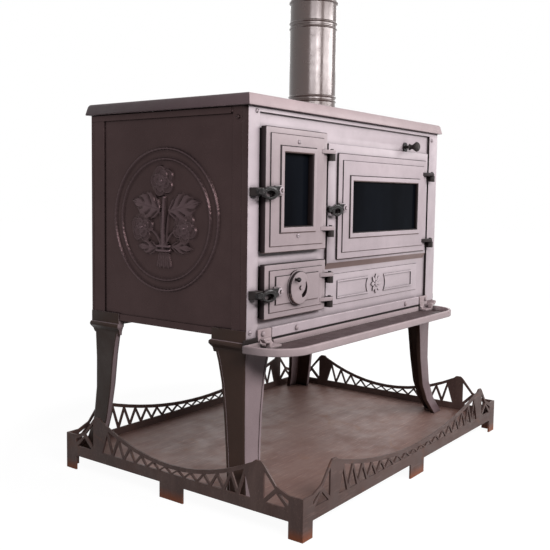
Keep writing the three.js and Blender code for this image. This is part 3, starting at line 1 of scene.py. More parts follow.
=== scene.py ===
import math
from functools import cached_property

import bmesh
import bpy
import numpy as np
from mathutils import Matrix, Vector


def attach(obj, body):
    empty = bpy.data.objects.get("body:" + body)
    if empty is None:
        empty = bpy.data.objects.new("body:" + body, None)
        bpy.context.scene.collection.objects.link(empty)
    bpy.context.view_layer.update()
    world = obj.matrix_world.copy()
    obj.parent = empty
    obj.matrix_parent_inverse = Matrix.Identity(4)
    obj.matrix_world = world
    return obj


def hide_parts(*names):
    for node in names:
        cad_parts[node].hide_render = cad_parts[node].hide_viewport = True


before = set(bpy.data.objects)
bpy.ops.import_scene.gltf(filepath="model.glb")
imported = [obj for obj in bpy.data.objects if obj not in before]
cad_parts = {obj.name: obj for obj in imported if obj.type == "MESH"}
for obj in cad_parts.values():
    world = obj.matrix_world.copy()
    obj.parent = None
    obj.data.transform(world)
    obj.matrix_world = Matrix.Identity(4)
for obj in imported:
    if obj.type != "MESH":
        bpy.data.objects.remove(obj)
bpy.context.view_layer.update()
scene = bpy.context.scene

# ---------------------------------------------------------------- frame of the stove's body
# body coordinates are millimetres from the body's lower front left corner
MM = 0.001
BODY_AT = (-454.0, -178.5, 375.0)
BODY_W, BODY_H = 880, 482
SIDE_BORDER = 3.0  # how far a side panel's field lies behind its border
FRONT = (0, -1, 0)


def at(x, y, z):
    """A point in body coordinates, as a vector in metres in the shared frame."""
    return Vector(((x + BODY_AT[0]) / 1000, (y + BODY_AT[1]) / 1000, (z + BODY_AT[2]) / 1000))


# ---------------------------------------------------------------- materials
def srgb(text):
    values = [int(text[i:i + 2], 16) / 255 for i in (0, 2, 4)]
    linear = [v / 12.92 if v <= 0.04045 else ((v + 0.055) / 1.055) ** 2.4 for v in values]
    return (*linear, 1.0)


def tint(color, factor):
    return (*[min(1.0, c * factor) for c in color[:3]], 1.0)


class Nodes:
    """Adds and joins the shader nodes of one material or world."""

    def __init__(self, owner, output="ShaderNodeOutputMaterial"):
        owner.use_nodes = True
        self.owner = owner
        self.tree = owner.node_tree
        self.tree.nodes.clear()
        self.surface = self.add(output).inputs["Surface"]

    def add(self, kind, **values):
        """A new node, with values for its sockets or its settings."""
        node = self.tree.nodes.new(kind)
        for key, value in values.items():
            if key in node.inputs:
                node.inputs[key].default_value = value
            else:
                setattr(node, key, value)
        return node

    def link(self, a, b):
        self.tree.links.new(a, b)

    @cached_property
    def coords(self):
        return self.add("ShaderNodeTexCoord").outputs["Object"]

    def component(self, vector, index):
        split = self.add("ShaderNodeSeparateXYZ")
        self.link(vector, split.inputs[0])
        return split.outputs[index]

    def noise(self, scale, detail, rough, stretch=None, distortion=0.0):
        node = self.add("ShaderNodeTexNoise", Scale=scale, Detail=detail, Roughness=rough,
                        Distortion=distortion)
        vector = self.coords
        if stretch:
            mapping = self.add("ShaderNodeMapping", Scale=stretch)
            self.link(vector, mapping.inputs["Vector"])
            vector = mapping.outputs["Vector"]
        self.link(vector, node.inputs["Vector"])
        return node.outputs["Fac"]

    def grey(self, value, low, high, a=0.0, b=1.0):
        """Level a where the value is below low, b where it is above high, and a slope between them."""
        node = self.add("ShaderNodeValToRGB")
        for element, position, level in zip(node.color_ramp.elements, (low, high), (a, b)):
            element.position = position
            element.color = (level, level, level, 1)
        self.link(value, node.inputs["Fac"])
        return node.outputs["Color"]

    def mix(self, factor, a, b):
        node = self.add("ShaderNodeMix", data_type="RGBA")
        self.link(factor, node.inputs["Factor"])
        for socket, value in ((node.inputs[6], a), (node.inputs[7], b)):
            if isinstance(value, tuple):
                socket.default_value = value
            else:
                self.link(value, socket)
        return node.outputs[2]

    def maths(self, operation, a, b=0.0):
        node = self.add("ShaderNodeMath", operation=operation)
        for socket, value in ((node.inputs[0], a), (node.inputs[1], b)):
            if isinstance(value, (int, float)):
                socket.default_value = value
            else:
                self.link(value, socket)
        return node.outputs[0]

    def join(self, kind, *inputs):
        """A node that mixes or adds shaders, with its inputs linked in their order."""
        node = self.add(kind)
        for socket, value in zip(node.inputs, inputs):
            self.link(value, socket)
        return node.outputs[0]

    def seen_directly(self):
        """1 for camera, mirror and transmission rays and 0 for those that light the object."""
        rays = self.add("ShaderNodeLightPath").outputs
        seen = self.maths("MAXIMUM", rays["Is Camera Ray"], rays["Is Glossy Ray"])
        return self.maths("MAXIMUM", seen, rays["Is Transmission Ray"])

    def edges(self):
        """1 on sharp edges and 0 on flats, from the rounded normal."""
        bevel = self.add("ShaderNodeBevel", samples=4, Radius=0.0016)
        geometry = self.add("ShaderNodeNewGeometry")
        dot = self.add("ShaderNodeVectorMath", operation="DOT_PRODUCT")
        self.link(bevel.outputs["Normal"], dot.inputs[0])
        self.link(geometry.outputs["Normal"], dot.inputs[1])
        return self.grey(dot.outputs["Value"], 0.955, 0.995, 1.0, 0.0)

    def corner_shade(self, distance=0.013, low=0.4, high=0.92):
        """1 in corners and under ledges, where shade falls, and 0 on open faces; the mask of painted shade."""
        hidden = self.add("ShaderNodeAmbientOcclusion", samples=6, Distance=distance)
        return self.grey(hidden.outputs["AO"], low, high, 1.0, 0.0)

    def finish(self, color, rough, rounding, bump=None, strength=0.0, distance=0.0, **sockets):
        """Joins the Principled shader, with softly rounded edges and a bump of the given depth."""
        shader = self.add("ShaderNodeBsdfPrincipled")
        self.link(color, shader.inputs["Base Color"])
        self.link(rough, shader.inputs["Roughness"])
        for key, value in sockets.items():
            shader.inputs[key].default_value = value
        normal = self.add("ShaderNodeBevel", samples=4, Radius=rounding).outputs["Normal"]
        if bump is not None:
            node = self.add("ShaderNodeBump", Strength=strength, Distance=distance)
            self.link(bump, node.inputs["Height"])
            self.link(normal, node.inputs["Normal"])
            normal = node.outputs["Normal"]
        self.link(normal, shader.inputs["Normal"])
        self.link(shader.outputs[0], self.surface)
        return self.owner


def material_nodes(name):
    return Nodes(bpy.data.materials.new(name))


WHITE = (1.0, 1.0, 1.0, 1.0)
WARM = (1.0, 0.9, 0.9, 1.0)
RELIEF_TOP_WEAR_AND_HIGHLIGHT = srgb("554649")  # tops of the relief, partly rubbed wear and partly painted highlight, a little greyer than the field
FOOT_RUST = srgb("8a4b2c")


def stove_paint(name, base, rough=0.42, metallic=0.0, wear_and_highlight=0.35, grain=0.35, edge_wear_highlight_color=None, blotch=0.1,
                shine=0.2, soot_and_shade=0.75, relief=None, gloss_tint=WHITE):
    """Stove paint on cast iron: slow blotches, sand-cast grain, lighter edges that are partly wear and partly
    painted highlight, and painted shade in creases.
    """
    n = material_nodes(name)
    base = srgb(base)
    slow = n.noise(4.5, 3.0, 0.6)
    cloud = n.noise(26.0, 4.0, 0.6)
    fine = n.noise(420.0, 3.0, 0.7)
    color = n.mix(n.grey(slow, 0.35, 0.68), tint(base, 1 - blotch), tint(base, 1 + blotch))
    color = n.mix(n.grey(cloud, 0.4, 0.75, 0.0, 0.35), color, tint(base, 0.72))
    color = n.mix(n.grey(fine, 0.35, 0.7, 0.0, 0.22), color, tint(base, 1.35))
    # lighter edges: partly wear, partly painted highlight of the bevels
    edge_wear_highlight = n.maths("MULTIPLY", n.edges(), n.grey(n.noise(60.0, 4.0, 0.7), 0.42, 0.6))
    color = n.mix(n.maths("MULTIPLY", edge_wear_highlight, wear_and_highlight), color, edge_wear_highlight_color or tint(base, 1.9))
    if relief is None:
        crease_shade_mask = n.corner_shade()
    else:
        # tops of the relief are lighter, partly rubbed wear and partly painted highlight, and its slopes get
        # painted shade; relief is the field's x
        height = n.maths("ABSOLUTE", n.maths("SUBTRACT", n.component(n.coords, 0), relief))
        color = n.mix(n.grey(height, 0.001, 0.008), color, RELIEF_TOP_WEAR_AND_HIGHLIGHT)
        normal = n.add("ShaderNodeNewGeometry").outputs["Normal"]
        slope_flatness = n.maths("ABSOLUTE", n.component(normal, 0))
        color = n.mix(n.grey(slope_flatness, 0.5, 0.93, 0.3, 0.0), color, tint(base, 0.3))
        crease_shade_mask = n.corner_shade(0.009, 0.55, 1.0)
    # painted shade: corners, creases and the undersides of ledges are darkened towards a tenth of the base
    color = n.mix(n.maths("MULTIPLY", crease_shade_mask, soot_and_shade), color, tint(base, 0.1))
    roughness = n.grey(n.noise(38.0, 5.0, 0.6), 0.3, 0.75, rough - 0.07, rough + 0.1)
    grains = n.maths("ADD", n.noise(900.0, 2.0, 0.6), n.maths("MULTIPLY", n.noise(140.0, 3.0, 0.5), 1.2))
    return n.finish(color, roughness, 0.0014, grains, grain, 0.0005,
                    **{"Metallic": metallic, "Specular IOR Level": shine, "Specular Tint": gloss_tint})


def sheet_steel(name, base, streaks, rust, scratch, feet=False):
    """Sheet metal with drawn streaks, dull stains, scratches and rust."""
    n = material_nodes(name)
    base, streaks = srgb(base), srgb(streaks)
    streak = n.noise(7.0, 6.0, 0.65, stretch=(0.35, 3.2, 1.0), distortion=0.4)
    stain = n.noise(3.2, 5.0, 0.6)
    scuff = n.noise(160.0, 3.0, 0.6, stretch=(0.12, 2.2, 1.0))
    patches = n.noise(11.0, 5.0, 0.7, distortion=0.8)
    color = n.mix(n.grey(streak, 0.38, 0.66), base, streaks)
    color = n.mix(n.grey(stain, 0.45, 0.72, 0.0, 0.55), color, tint(base, 0.62))
    color = n.mix(n.grey(scuff, 0.57, 0.7, 0.0, scratch), color, tint(streaks, 1.6))
    color = n.mix(n.grey(patches, 0.6, 0.74, 0.0, 0.6), color, srgb(rust))
    if feet:
        # rust creeps up from where the feet stand on the ground
        uneven = n.maths("MULTIPLY", n.noise(70.0, 4.0, 0.7), 0.012)
        level = n.maths("ADD", n.component(n.coords, 2), uneven)
        color = n.mix(n.grey(level, 0.008, 0.03, 0.9, 0.0), color, FOOT_RUST)
    roughness = n.grey(n.noise(20.0, 5.0, 0.6), 0.3, 0.7, 0.4, 0.64)
    return n.finish(color, roughness, 0.0008, n.noise(300.0, 4.0, 0.6), 0.16, 0.0004,
                    **{"Specular IOR Level": 0.25})


def raw_iron(name, base, rough=0.68):
    """Unpainted cast iron."""
    n = material_nodes(name)
    base = srgb(base)
    slow = n.noise(9.0, 4.0, 0.6)
    fine = n.noise(320.0, 4.0, 0.7)
    color = n.mix(n.grey(slow, 0.35, 0.7), tint(base, 0.7), tint(base, 1.3))
    color = n.mix(n.grey(fine, 0.5, 0.75, 0.0, 0.4), color, tint(base, 2.0))
    roughness = n.grey(fine, 0.3, 0.7, rough - 0.1, rough + 0.15)
    return n.finish(color, roughness, 0.0012, n.noise(600.0, 4.0, 0.65), 0.4, 0.0006, Metallic=0.55)


def bright_metal(name, base, rough=0.3):
    """Bare wire or rod with fine scratches."""
    n = material_nodes(name)
    base = srgb(base)
    scratch = n.noise(260.0, 4.0, 0.6, stretch=(1.0, 0.2, 3.0))
    color = n.mix(n.grey(scratch, 0.35, 0.7), tint(base, 0.8), base)
    roughness = n.grey(scratch, 0.3, 0.7, rough - 0.08, rough + 0.14)
    return n.finish(color, roughness, 0.0008, scratch, 0.1, 0.0002, Metallic=0.9)


def smoked_glass(name):
    """Heat glass, dark with soot behind it and a little dust."""
    n = material_nodes(name)
    dust = n.noise(30.0, 5.0, 0.6)
    soot_and_shade = n.noise(6.0, 3.0, 0.5, stretch=(1.0, 1.0, 0.25))
    color = n.mix(n.grey(soot_and_shade, 0.4, 0.7), srgb("090a0e"), srgb("12151b"))
    color = n.mix(n.grey(dust, 0.5, 0.85, 0.0, 0.2), color, srgb("1e2126"))
    roughness = n.grey(dust, 0.35, 0.8, 0.06, 0.16)
    return n.finish(color, roughness, 0.0006, **{"Specular IOR Level": 0.008})


# painted light: the light paints of the front castings, legs, top and shelf are lit copies of the stove's one
# dark paint, which the sides show
PAINT_FRONT = stove_paint("stove_paint_front", "bcafb4", wear_and_highlight=0.6)
PAINT_DOOR = stove_paint("stove_paint_door", "b6a8ad", wear_and_highlight=0.6)
# painted shade: a darker copy of the door paint for the firebox and ash doors and the bolts
PAINT_FIRE_SHADED = stove_paint("stove_paint_fire_doors_shade", "a19295", wear_and_highlight=0.7)
SIDE_LOOK = dict(base="3d3030", rough=0.3, metallic=1.0, shine=0.5, gloss_tint=WARM)
PAINT_SIDE = stove_paint("stove_paint_side", wear_and_highlight=0.2, grain=0.15, **SIDE_LOOK)
PAINT_RELIEF = {side: stove_paint(f"stove_paint_relief_{side}", wear_and_highlight=0.0, grain=0.1, soot_and_shade=1.0,
                                  relief=at(x, 0, 0).x, **SIDE_LOOK)
                for side, x in (("left", SIDE_BORDER), ("right", BODY_W - SIDE_BORDER))}
# painted shade on the steps and sides of the front castings
PAINT_STEP_SHADE = stove_paint("stove_paint_step_shade", "2b2324", rough=0.45, wear_and_highlight=0.0, grain=0.2, shine=0.15)
PAINT_LEG = stove_paint("stove_paint_leg", "8f7e81", wear_and_highlight=0.4)
# painted shade on the legs' side and back faces
PAINT_LEG_SIDE_SHADE = stove_paint("stove_paint_leg_side_shade", "45352f", rough=0.4, wear_and_highlight=0.3, shine=0.1)
# painted shadow of the shelf on the front right leg
PAINT_LEG_SHADOWED = stove_paint("stove_paint_leg_right_shadowed", "746265", wear_and_highlight=0.4)
# painted shade on the undersides of those steps
PAINT_UNDERSIDE_SHADE = stove_paint("stove_paint_underside_shade", "7a6663", wear_and_highlight=0.3)
PAINT_TOP = stove_paint("stove_paint_top", "ad9b9d", rough=0.44, soot_and_shade=0.4)
# painted shade on the top plate's side faces
PAINT_TOP_SIDE_SHADE = stove_paint("stove_paint_top_rim_shade", "5a4a4d", rough=0.44, soot_and_shade=0.4)
PAINT_SHELF = stove_paint("stove_paint_shelf", "a89799", wear_and_highlight=0.5)
# painted shade on the shelf's floor
PAINT_SHELF_FLOOR_SHADE = stove_paint("stove_paint_shelf_floor_shade", "48393a", rough=0.5)
# dark paint of inner pieces, also painted shade on knuckles, keepers, screw slots and the gap under the shelf
PAINT_DARK_AND_SHADE = stove_paint("stove_paint_dark_and_shade", "2a2322", rough=0.4, wear_and_highlight=0.2, grain=0.25)
# the light worn edges of the dark latches are partly painted highlight
PAINT_LATCH = stove_paint("stove_paint_latch", "171313", rough=0.16, wear_and_highlight=0.25, grain=0.04, shine=0.22,
                          edge_wear_highlight_color=srgb("b8abad"), soot_and_shade=0.6)
PIPE = stove_paint("pipe_enamel", "4a3833", rough=0.22, metallic=0.1, wear_and_highlight=0.1, grain=0.01, blotch=0.05,
                   shine=1.0, soot_and_shade=0.2, gloss_tint=(1.0, 0.95, 0.96, 1.0))
IRON = raw_iron("raw_cast_iron", "2f2a29")
STEEL = bright_metal("bright_steel", "b8b0af")
GLASS = smoked_glass("smoked_glass")
TRAY = sheet_steel("tray_sheet", "7c5f58", "8b7068", "855c40", scratch=0.5)
FENCE = sheet_steel("fence_sheet", "523f3b", "66514c", "74462f", scratch=0.35, feet=True)

NODE_MATERIALS = {node: material for material, nodes in (
    (PAINT_FRONT, "front_frame"),
    (PAINT_DOOR, "oven_door lower_fascia"),
    (PAINT_FIRE_SHADED, "firebox_door ash_door air_disc"),
    (PAINT_FIRE_SHADED, "fascia_bolt_left fascia_bolt_right bracket_bolt_left bracket_bolt_right"),
    (PAINT_SIDE, "side_panel_left side_panel_right back_panel"),
    (PAINT_DARK_AND_SHADE, "base_plate oven_box"),
    (PAINT_TOP, "top_plate"),
    (PAINT_SHELF, "front_shelf shelf_bracket_left shelf_bracket_right"),
    (PAINT_LATCH, "firebox_latch ash_latch oven_latch damper_flange"),
    (PAINT_LEG, "leg_front_left leg_back_left leg_back_right"),
    # the front right leg takes the painted shadow of the shelf
    (PAINT_LEG_SHADOWED, "leg_front_right"),
    (PIPE, "flue_pipe_lower flue_pipe_upper"),
    (IRON, "fire_wall firebox_floor firebox_grate firebox_liner_left firebox_liner_right firebox_liner_back"),
    (IRON, "ash_pan firebox_glass_clip oven_glass_clip hob_ring_outer hob_ring_inner hob_lid"),
    (IRON, "flue_collar damper_knob damper_plate"),
    (STEEL, "oven_rack"),
    (GLASS, "firebox_glass oven_glass"),
    (TRAY, "tray_floor"),
    (FENCE, "tray_fence_front tray_fence_back tray_fence_left tray_fence_right"),
) for node in nodes.split()}
for name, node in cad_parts.items():
    node.data.materials.clear()
    node.data.materials.append(NODE_MATERIALS[name])


# ---------------------------------------------------------------- mesh helpers
# degrees: facets flatter than the first are joined, edges sharper than the second are rounded, and
# edges sharper than the third stay sharp on turned pieces
FLAT, SHARP, CREASED = 0.6, 28, 40


def piece(name, shape, material, body="stove", smooth=True):
    """A visible piece from a mesh or a bmesh, riding on a body."""
    mesh = shape
    if isinstance(shape, bmesh.types.BMesh):
        mesh = bpy.data.meshes.new(name)
        shape.to_mesh(mesh)
        shape.free()
    obj = bpy.data.objects.new(name, mesh)
    scene.collection.objects.link(obj)
    mesh.materials.append(material)
    for polygon in mesh.polygons:
        polygon.use_smooth = smooth
    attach(obj, body)
    return obj


def outwards(bm):
    """The bmesh with all its faces turned outwards."""
    bmesh.ops.recalc_face_normals(bm, faces=bm.faces)
    return bm


def smooth_by_angle(obj):
    with bpy.context.temp_override(object=obj, active_object=obj, selected_editable_objects=[obj],
                                   selected_objects=[obj]):
        bpy.ops.object.shade_smooth_by_angle(angle=math.radians(CREASED))


def round_edges(obj, width):
    """Rounds the sharp edges by a width in millimetres."""
    bevel = obj.modifiers.new("edges", "BEVEL")
    bevel.width = width * MM
    bevel.segments = 2
    bevel.limit_method = "ANGLE"
    bevel.angle_limit = math.radians(SHARP)
    bevel.use_clamp_overlap = True
    bevel.harden_normals = True


def repaint(obj, material, chosen):
    """Gives the polygons that chosen() picks one more material."""
    obj.data.materials.append(material)
    index = len(obj.data.materials) - 1
    for polygon in obj.data.polygons:
        if chosen(polygon):
            polygon.material_index = index


BOX_QUADS = ((0, 1, 3, 2), (4, 6, 7, 5), (0, 4, 5, 1), (2, 3, 7, 6), (0, 2, 6, 4), (1, 5, 7, 3))


def box_of(bm, points):
    """A box from its eight corners, with the last direction running fastest."""
    corners = [bm.verts.new(point) for point in points]
    for quad in BOX_QUADS:
        bm.faces.new([corners[i] for i in quad])


def box_into(bm, x0, x1, y0, y1, z0, z1):
    box_of(bm, [at(x, y, z) for x in (x0, x1) for y in (y0, y1) for z in (z0, z1)])


# ---------------------------------------------------------------- flue pipe
FLUE_X, FLUE_Y = 748, 352
PIPE_R = 69.3
PIPE_WALL = 2
SPIGOT_R = PIPE_R - 2.3  # narrowed foot of the upper pipe, inside the lower one
PIPE_FOOT, PIPE_JOINT, PIPE_TOP = 518, 801.5, 890
SPIGOT_FOOT, SPIGOT_TOP = 763, 802.2
COLLAR_FOOT = 509.1


def spin(profile, segments):
    """A closed profile of (radius, height) in millimetres, turned about the flue's axis."""
    bm = bmesh.new()
    loops = []
    for i in range(segments):
        a = 2 * math.pi * i / segments
        loops.append([bm.verts.new(at(FLUE_X + r * math.cos(a), FLUE_Y + r * math.sin(a), h))
                      for r, h in profile])
    for i in range(segments):
        a, b = loops[i], loops[(i + 1) % segments]
        for j in range(len(profile) - 1):
            bm.faces.new([a[j], b[j], b[j + 1], a[j + 1]])
    bmesh.ops.remove_doubles(bm, verts=bm.verts, dist=1e-7)
    return outwards(bm)


def bead(z, r, steps=8):
    """Profile of a rolled bead that stands out of the pipe by r at the height z."""
    out = [(PIPE_R, z - 1.7 * r)]
    for i in range(steps + 1):
        t = i / steps
        out.append((PIPE_R + r * math.sin(math.pi * t) ** 0.9, z - 1.3 * r + 2.6 * r * t))
    out.append((PIPE_R, z + 1.7 * r))
    return out


# outlines of (radius, height) round the walls; a bead has its height and how far it stands out
low = [(PIPE_R - PIPE_WALL, PIPE_FOOT), (PIPE_R, PIPE_FOOT), *bead(581.5, 2.8), *bead(594, 2.8),
       (PIPE_R, 700), *bead(795, 2.4), (PIPE_R, PIPE_JOINT), (PIPE_R - PIPE_WALL, PIPE_JOINT),
       (PIPE_R - PIPE_WALL, PIPE_FOOT)]
high = [(SPIGOT_R - PIPE_WALL, SPIGOT_FOOT), (SPIGOT_R, SPIGOT_FOOT), (SPIGOT_R, SPIGOT_TOP),
        (PIPE_R, SPIGOT_TOP), *bead(811, 2.7), (PIPE_R, 850), *bead(871, 4.2), (PIPE_R, PIPE_TOP - 0.4),
        (PIPE_R - 1, PIPE_TOP), (PIPE_R - PIPE_WALL, PIPE_TOP - 0.4), (PIPE_R - PIPE_WALL, 812),
        (SPIGOT_R - PIPE_WALL, 806), (SPIGOT_R - PIPE_WALL, SPIGOT_FOOT)]
collar = [(63.5, 0), (97, 0), (98, 1), (98, 6.4), (97, 8), (85, 9.8), (79, 12.9), (76.5, 17.4), (76.2, 40.4),
          (75.2, 44.4), (73, 45.9), (70.2, 46), (69.7, 45.4), (69.7, 8.4), (63.5, 8.4), (63.5, 0)]
collar = [(r, h + COLLAR_FOOT) for r, h in collar]
for name, profile, segments, material, slot, node_name in (
        ("pipe_lower_fine", low, 128, PIPE, "pipe_enamel", "flue_pipe_lower"),
        ("pipe_upper_fine", high, 128, PIPE, "pipe_enamel", "flue_pipe_upper"),
        ("flue_collar_fine", collar, 96, IRON, "cast", "flue_collar")):
    turned = piece(name, spin(profile, segments), material)
    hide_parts(node_name)
    smooth_by_angle(turned)

# ---------------------------------------------------------------- rounded copies of the cast pieces
EDGE_WIDTHS = {  # millimetres
    "front_frame": 0.8, "firebox_door": 0.7, "oven_door": 0.7, "ash_door": 0.7, "air_disc": 0.7,
    "firebox_latch": 1.1, "ash_latch": 1.1, "oven_latch": 1.1, "top_plate": 1.5, "front_shelf": 1.2,
    "shelf_bracket_left": 0.8, "shelf_bracket_right": 0.8,
    "leg_front_left": 1.0, "leg_front_right": 1.0, "leg_back_left": 1.0, "leg_back_right": 1.0,
}
LATCHES = ("firebox_latch", "ash_latch", "oven_latch")
PANELLED = ("front_frame", "firebox_door", "oven_door", "ash_door", "air_disc")
MOVING = (*LATCHES, *PANELLED[1:])
BROAD_FACE = 0.02  # square metres; larger faces keep the paint of the front
FACE_Y = at(0, -0.8, 0).y  # what lies before it stands out of the front casting
KNOB_Y = at(0, -29.2, 0).y  # what lies before it is the air disc's knob
WELL_Z = at(0, 0, -15).z  # what faces up below it is the shelf's floor
MIDDLE_X = at(BODY_W / 2, 0, 0).x
OUTER_END = (BODY_W / 2 - 1.5) * MM
TAIL_PLATE = 0.018  # length of the plate at a latch lever's tail, in metres


def rounded(node_name, width):
    """A copy of a CAD node with its sharp edges rounded, standing in for the node."""
    bm = bmesh.new()
    bm.from_mesh(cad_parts[node_name].data)
    bmesh.ops.remove_doubles(bm, verts=bm.verts, dist=1e-6)
    bmesh.ops.dissolve_limit(bm, angle_limit=math.radians(FLAT), verts=bm.verts, edges=bm.edges)
    obj = piece(node_name + "_fine", bm, NODE_MATERIALS[node_name],
                node_name if node_name in MOVING else "stove")
    round_edges(obj, width)
    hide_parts(node_name)
    return obj


def is_step(polygon):
    """Sides, steps and ledges of the castings of the front."""
    return abs(polygon.normal.y) < 0.95 and polygon.area < BROAD_FACE


for node_name, width in EDGE_WIDTHS.items():
    copy = rounded(node_name, width)
    if node_name in PANELLED:
        # painted shade: steps and undersides are darker than faces
        repaint(copy, PAINT_STEP_SHADE, is_step)
        repaint(copy, PAINT_UNDERSIDE_SHADE, lambda p: is_step(p) and p.normal.z < -0.3)
    if node_name == "front_frame":
        # painted shade: knuckles and keepers get the dark paint, and the outer ends get the darker paint of
        # the side panels
        repaint(copy, PAINT_DARK_AND_SHADE, lambda p: p.center.y < FACE_Y)
        repaint(copy, PAINT_SIDE, lambda p: p.center.y >= FACE_Y and abs(p.normal.x) > 0.9
                and abs(p.center.x - MIDDLE_X) > OUTER_END)
    elif node_name == "air_disc":
        repaint(copy, PAINT_LATCH, lambda p: p.center.y < KNOB_Y)
    elif node_name in LATCHES:
        tail = max(v.co.x for v in copy.data.vertices) - TAIL_PLATE
        repaint(copy, PAINT_DOOR, lambda p: p.center.x > tail)
    elif node_name.startswith("leg_"):
        # painted shade: the side and back faces of the legs are darker
        repaint(copy, PAINT_LEG_SIDE_SHADE, lambda p: abs(p.normal.x) > 0.6 or p.normal.y > 0.6)
    elif node_name == "top_plate":
        # painted shade on the top plate's side faces
        repaint(copy, PAINT_TOP_SIDE_SHADE, lambda p: abs(p.normal.x) > 0.5)
    elif node_name == "front_shelf":
        # painted shade on the shelf's floor
        repaint(copy, PAINT_SHELF_FLOOR_SHADE, lambda p: p.normal.z > 0.9 and p.center.z < WELL_Z)

# dark lip between the shelf's back edge and the body, lower between the brackets, painted as the shade in the
# gap
for i, (x0, x1, z1) in enumerate(((-12, 81.5, -0.4), (82, 779, -5.1), (779.5, 815, -0.4))):
    bm = bmesh.new()
    box_into(bm, x0, x1, -3.7, -0.5, -15, z1)
    piece(f"shelf_gap_shade_{i}", outwards(bm), PAINT_DARK_AND_SHADE, smooth=False)


# ---------------------------------------------------------------- side panels with the rose medallion
MEDAL_Y, MEDAL_Z, MEDAL_HALF = 238.0, 242.0, 166.0
MEDAL_EDGE = 163.5  # the skin of the relief ends at this radius, outside the outer ring
RING_OUTER, RING_INNER = 158, 135
SIDE_T, SIDE_Y0, SIDE_Y1 = 10.0, 17.3, 469.7
FIELD_Y0, FIELD_Y1, FIELD_Z0, FIELD_Z1 = 41.3, 433.7, 16.0, 469.0
# places on the relief are millimetres from the medallion's centre, towards the back and up
LEAVES = (  # base, tip, half width, lift, lobes
    ((10, 22), (103, 43), 31, 3.2, 4), ((-14, 18), (-110, 42), 32, 3.2, 4),
    ((18, -64), (86, -61), 16, 2.8, 3), ((-22, -58), (-90, -62), 15, 2.8, 3))
STEMS = (  # start, bend, end; radius at start and end; lift
    (((0, 50), (3, 0), (1, -60)), 4.2, 6.5, 4.2),
    (((66, -22), (24, -16), (6, -62)), 3.2, 4.4, 3.4), (((-60, -20), (-22, -14), (-3, -62)), 3.2, 4.4, 3.4),
    (((14, 22), (9, 4), (8, -58)), 2.8, 3.8, 3.2), (((-16, 20), (-8, 4), (-8, -58)), 2.8, 3.8, 3.2))
ROSES = ((6, 86, 35, 1.3), (69, -19, 34, 0.4), (-62, -18, 35, 2.2))  # centre, radius, turn
STALKS = 7  # cut ends below the tie
TIE_HALF, TIE_Z = 22.5, (59, 68.5)


def half_round(distance, radius, lift):
    """Height of a half-round ridge of the given radius at a distance from its middle line."""
    inside = np.clip(1 - (distance / radius) ** 2, 0, None)
    return lift * np.sqrt(inside)


def curve_ridge(a, b, points, r0, r1, lift, steps=40):
    """Ridge along a quadratic curve, with its radius running from r0 to r1."""
    p0, p1, p2 = points
    best = np.zeros_like(a)
    for i in range(steps + 1):
        t = i / steps
        x = (1 - t) ** 2 * p0[0] + 2 * t * (1 - t) * p1[0] + t * t * p2[0]
        y = (1 - t) ** 2 * p0[1] + 2 * t * (1 - t) * p1[1] + t * t * p2[1]
        r = r0 + (r1 - r0) * t
        best = np.maximum(best, half_round(np.hypot(a - x, b - y), r, lift * min(1.0, r / 5)))
    return best


def rose_height(a, b, cx, cy, radius, turn):
    """Cupped petals in three layers round a rolled bud."""
    x, y = (a - cx) / radius, (b - cy) / radius
    distance = np.hypot(x, y)
    height = 1.2 * np.clip(1 - distance ** 2, 0, None) ** 0.5
    # petals in a layer, their distance from the middle, size, height, rise to the rim and turn
    for count, offset, size, low, rise, phase in ((5, 0.58, 0.44, 1.3, 2.6, 0.0),
                                                  (4, 0.36, 0.36, 1.9, 2.9, 0.6),
                                                  (3, 0.15, 0.25, 2.8, 2.4, 0.2)):
        for k in range(count):
            angle = turn + phase + 2 * math.pi * k / count
            q = np.hypot(x - offset * math.cos(angle), y - offset * math.sin(angle)) / size
            cup = (low + rise * np.clip(q, 0, 1) ** 2.5) * np.clip(1 - q ** 9, 0, None) ** 0.5
            groove = 0.9 * np.exp(-((q - 0.7) / 0.09) ** 2) * (q < 1)
            height = np.where((q < 1) & (cup > height), cup - groove, height)
    bud = (distance < 0.1) * (5.2 - 9 * distance ** 2)
    return np.maximum(height, bud)


def leaf_height(a, b, base, tip, width, lift, lobes):
    """Broad leaf with a midrib, side veins and a toothed edge."""
    dx, dy = tip[0] - base[0], tip[1] - base[1]
    length = math.hypot(dx, dy)
    t = ((a - base[0]) * dx + (b - base[1]) * dy) / length ** 2
    side = (-(a - base[0]) * dy + (b - base[1]) * dx) / length
    tc = np.clip(t, 0, 1)
    outline = width * np.sin(math.pi * tc ** 0.78) ** (0.75 + 0.7 * tc)
    outline *= 1 + 0.035 * np.sin(2 * math.pi * 2 * lobes * tc)
    u = np.abs(side) / np.maximum(outline, 0.3)
    height = 0.9 + lift * np.clip(1 - u ** 2.2, 0, 1) ** 0.5 * (0.75 + 0.25 * np.abs(u - 0.5))
    height -= 1.0 * np.exp(-(side / 1.2) ** 2) * (1 - tc * 0.6)
    vein = tc * lobes - 1.3 * u
    height -= 1.7 * (0.5 + 0.5 * np.cos(2 * math.pi * vein)) ** 3 * np.clip(u * 3, 0, 1)
    return np.where((t > 0) & (t < 1) & (u < 1), height, 0)


def rope_ring(r, angle, radius, thickness, lift, strands, lay):
    """A ring with the twist of a rope."""
    twist = 0.86 + 0.14 * np.sin(strands * angle + lay * (r - radius))
    return half_round(r - radius, thickness, lift) * twist


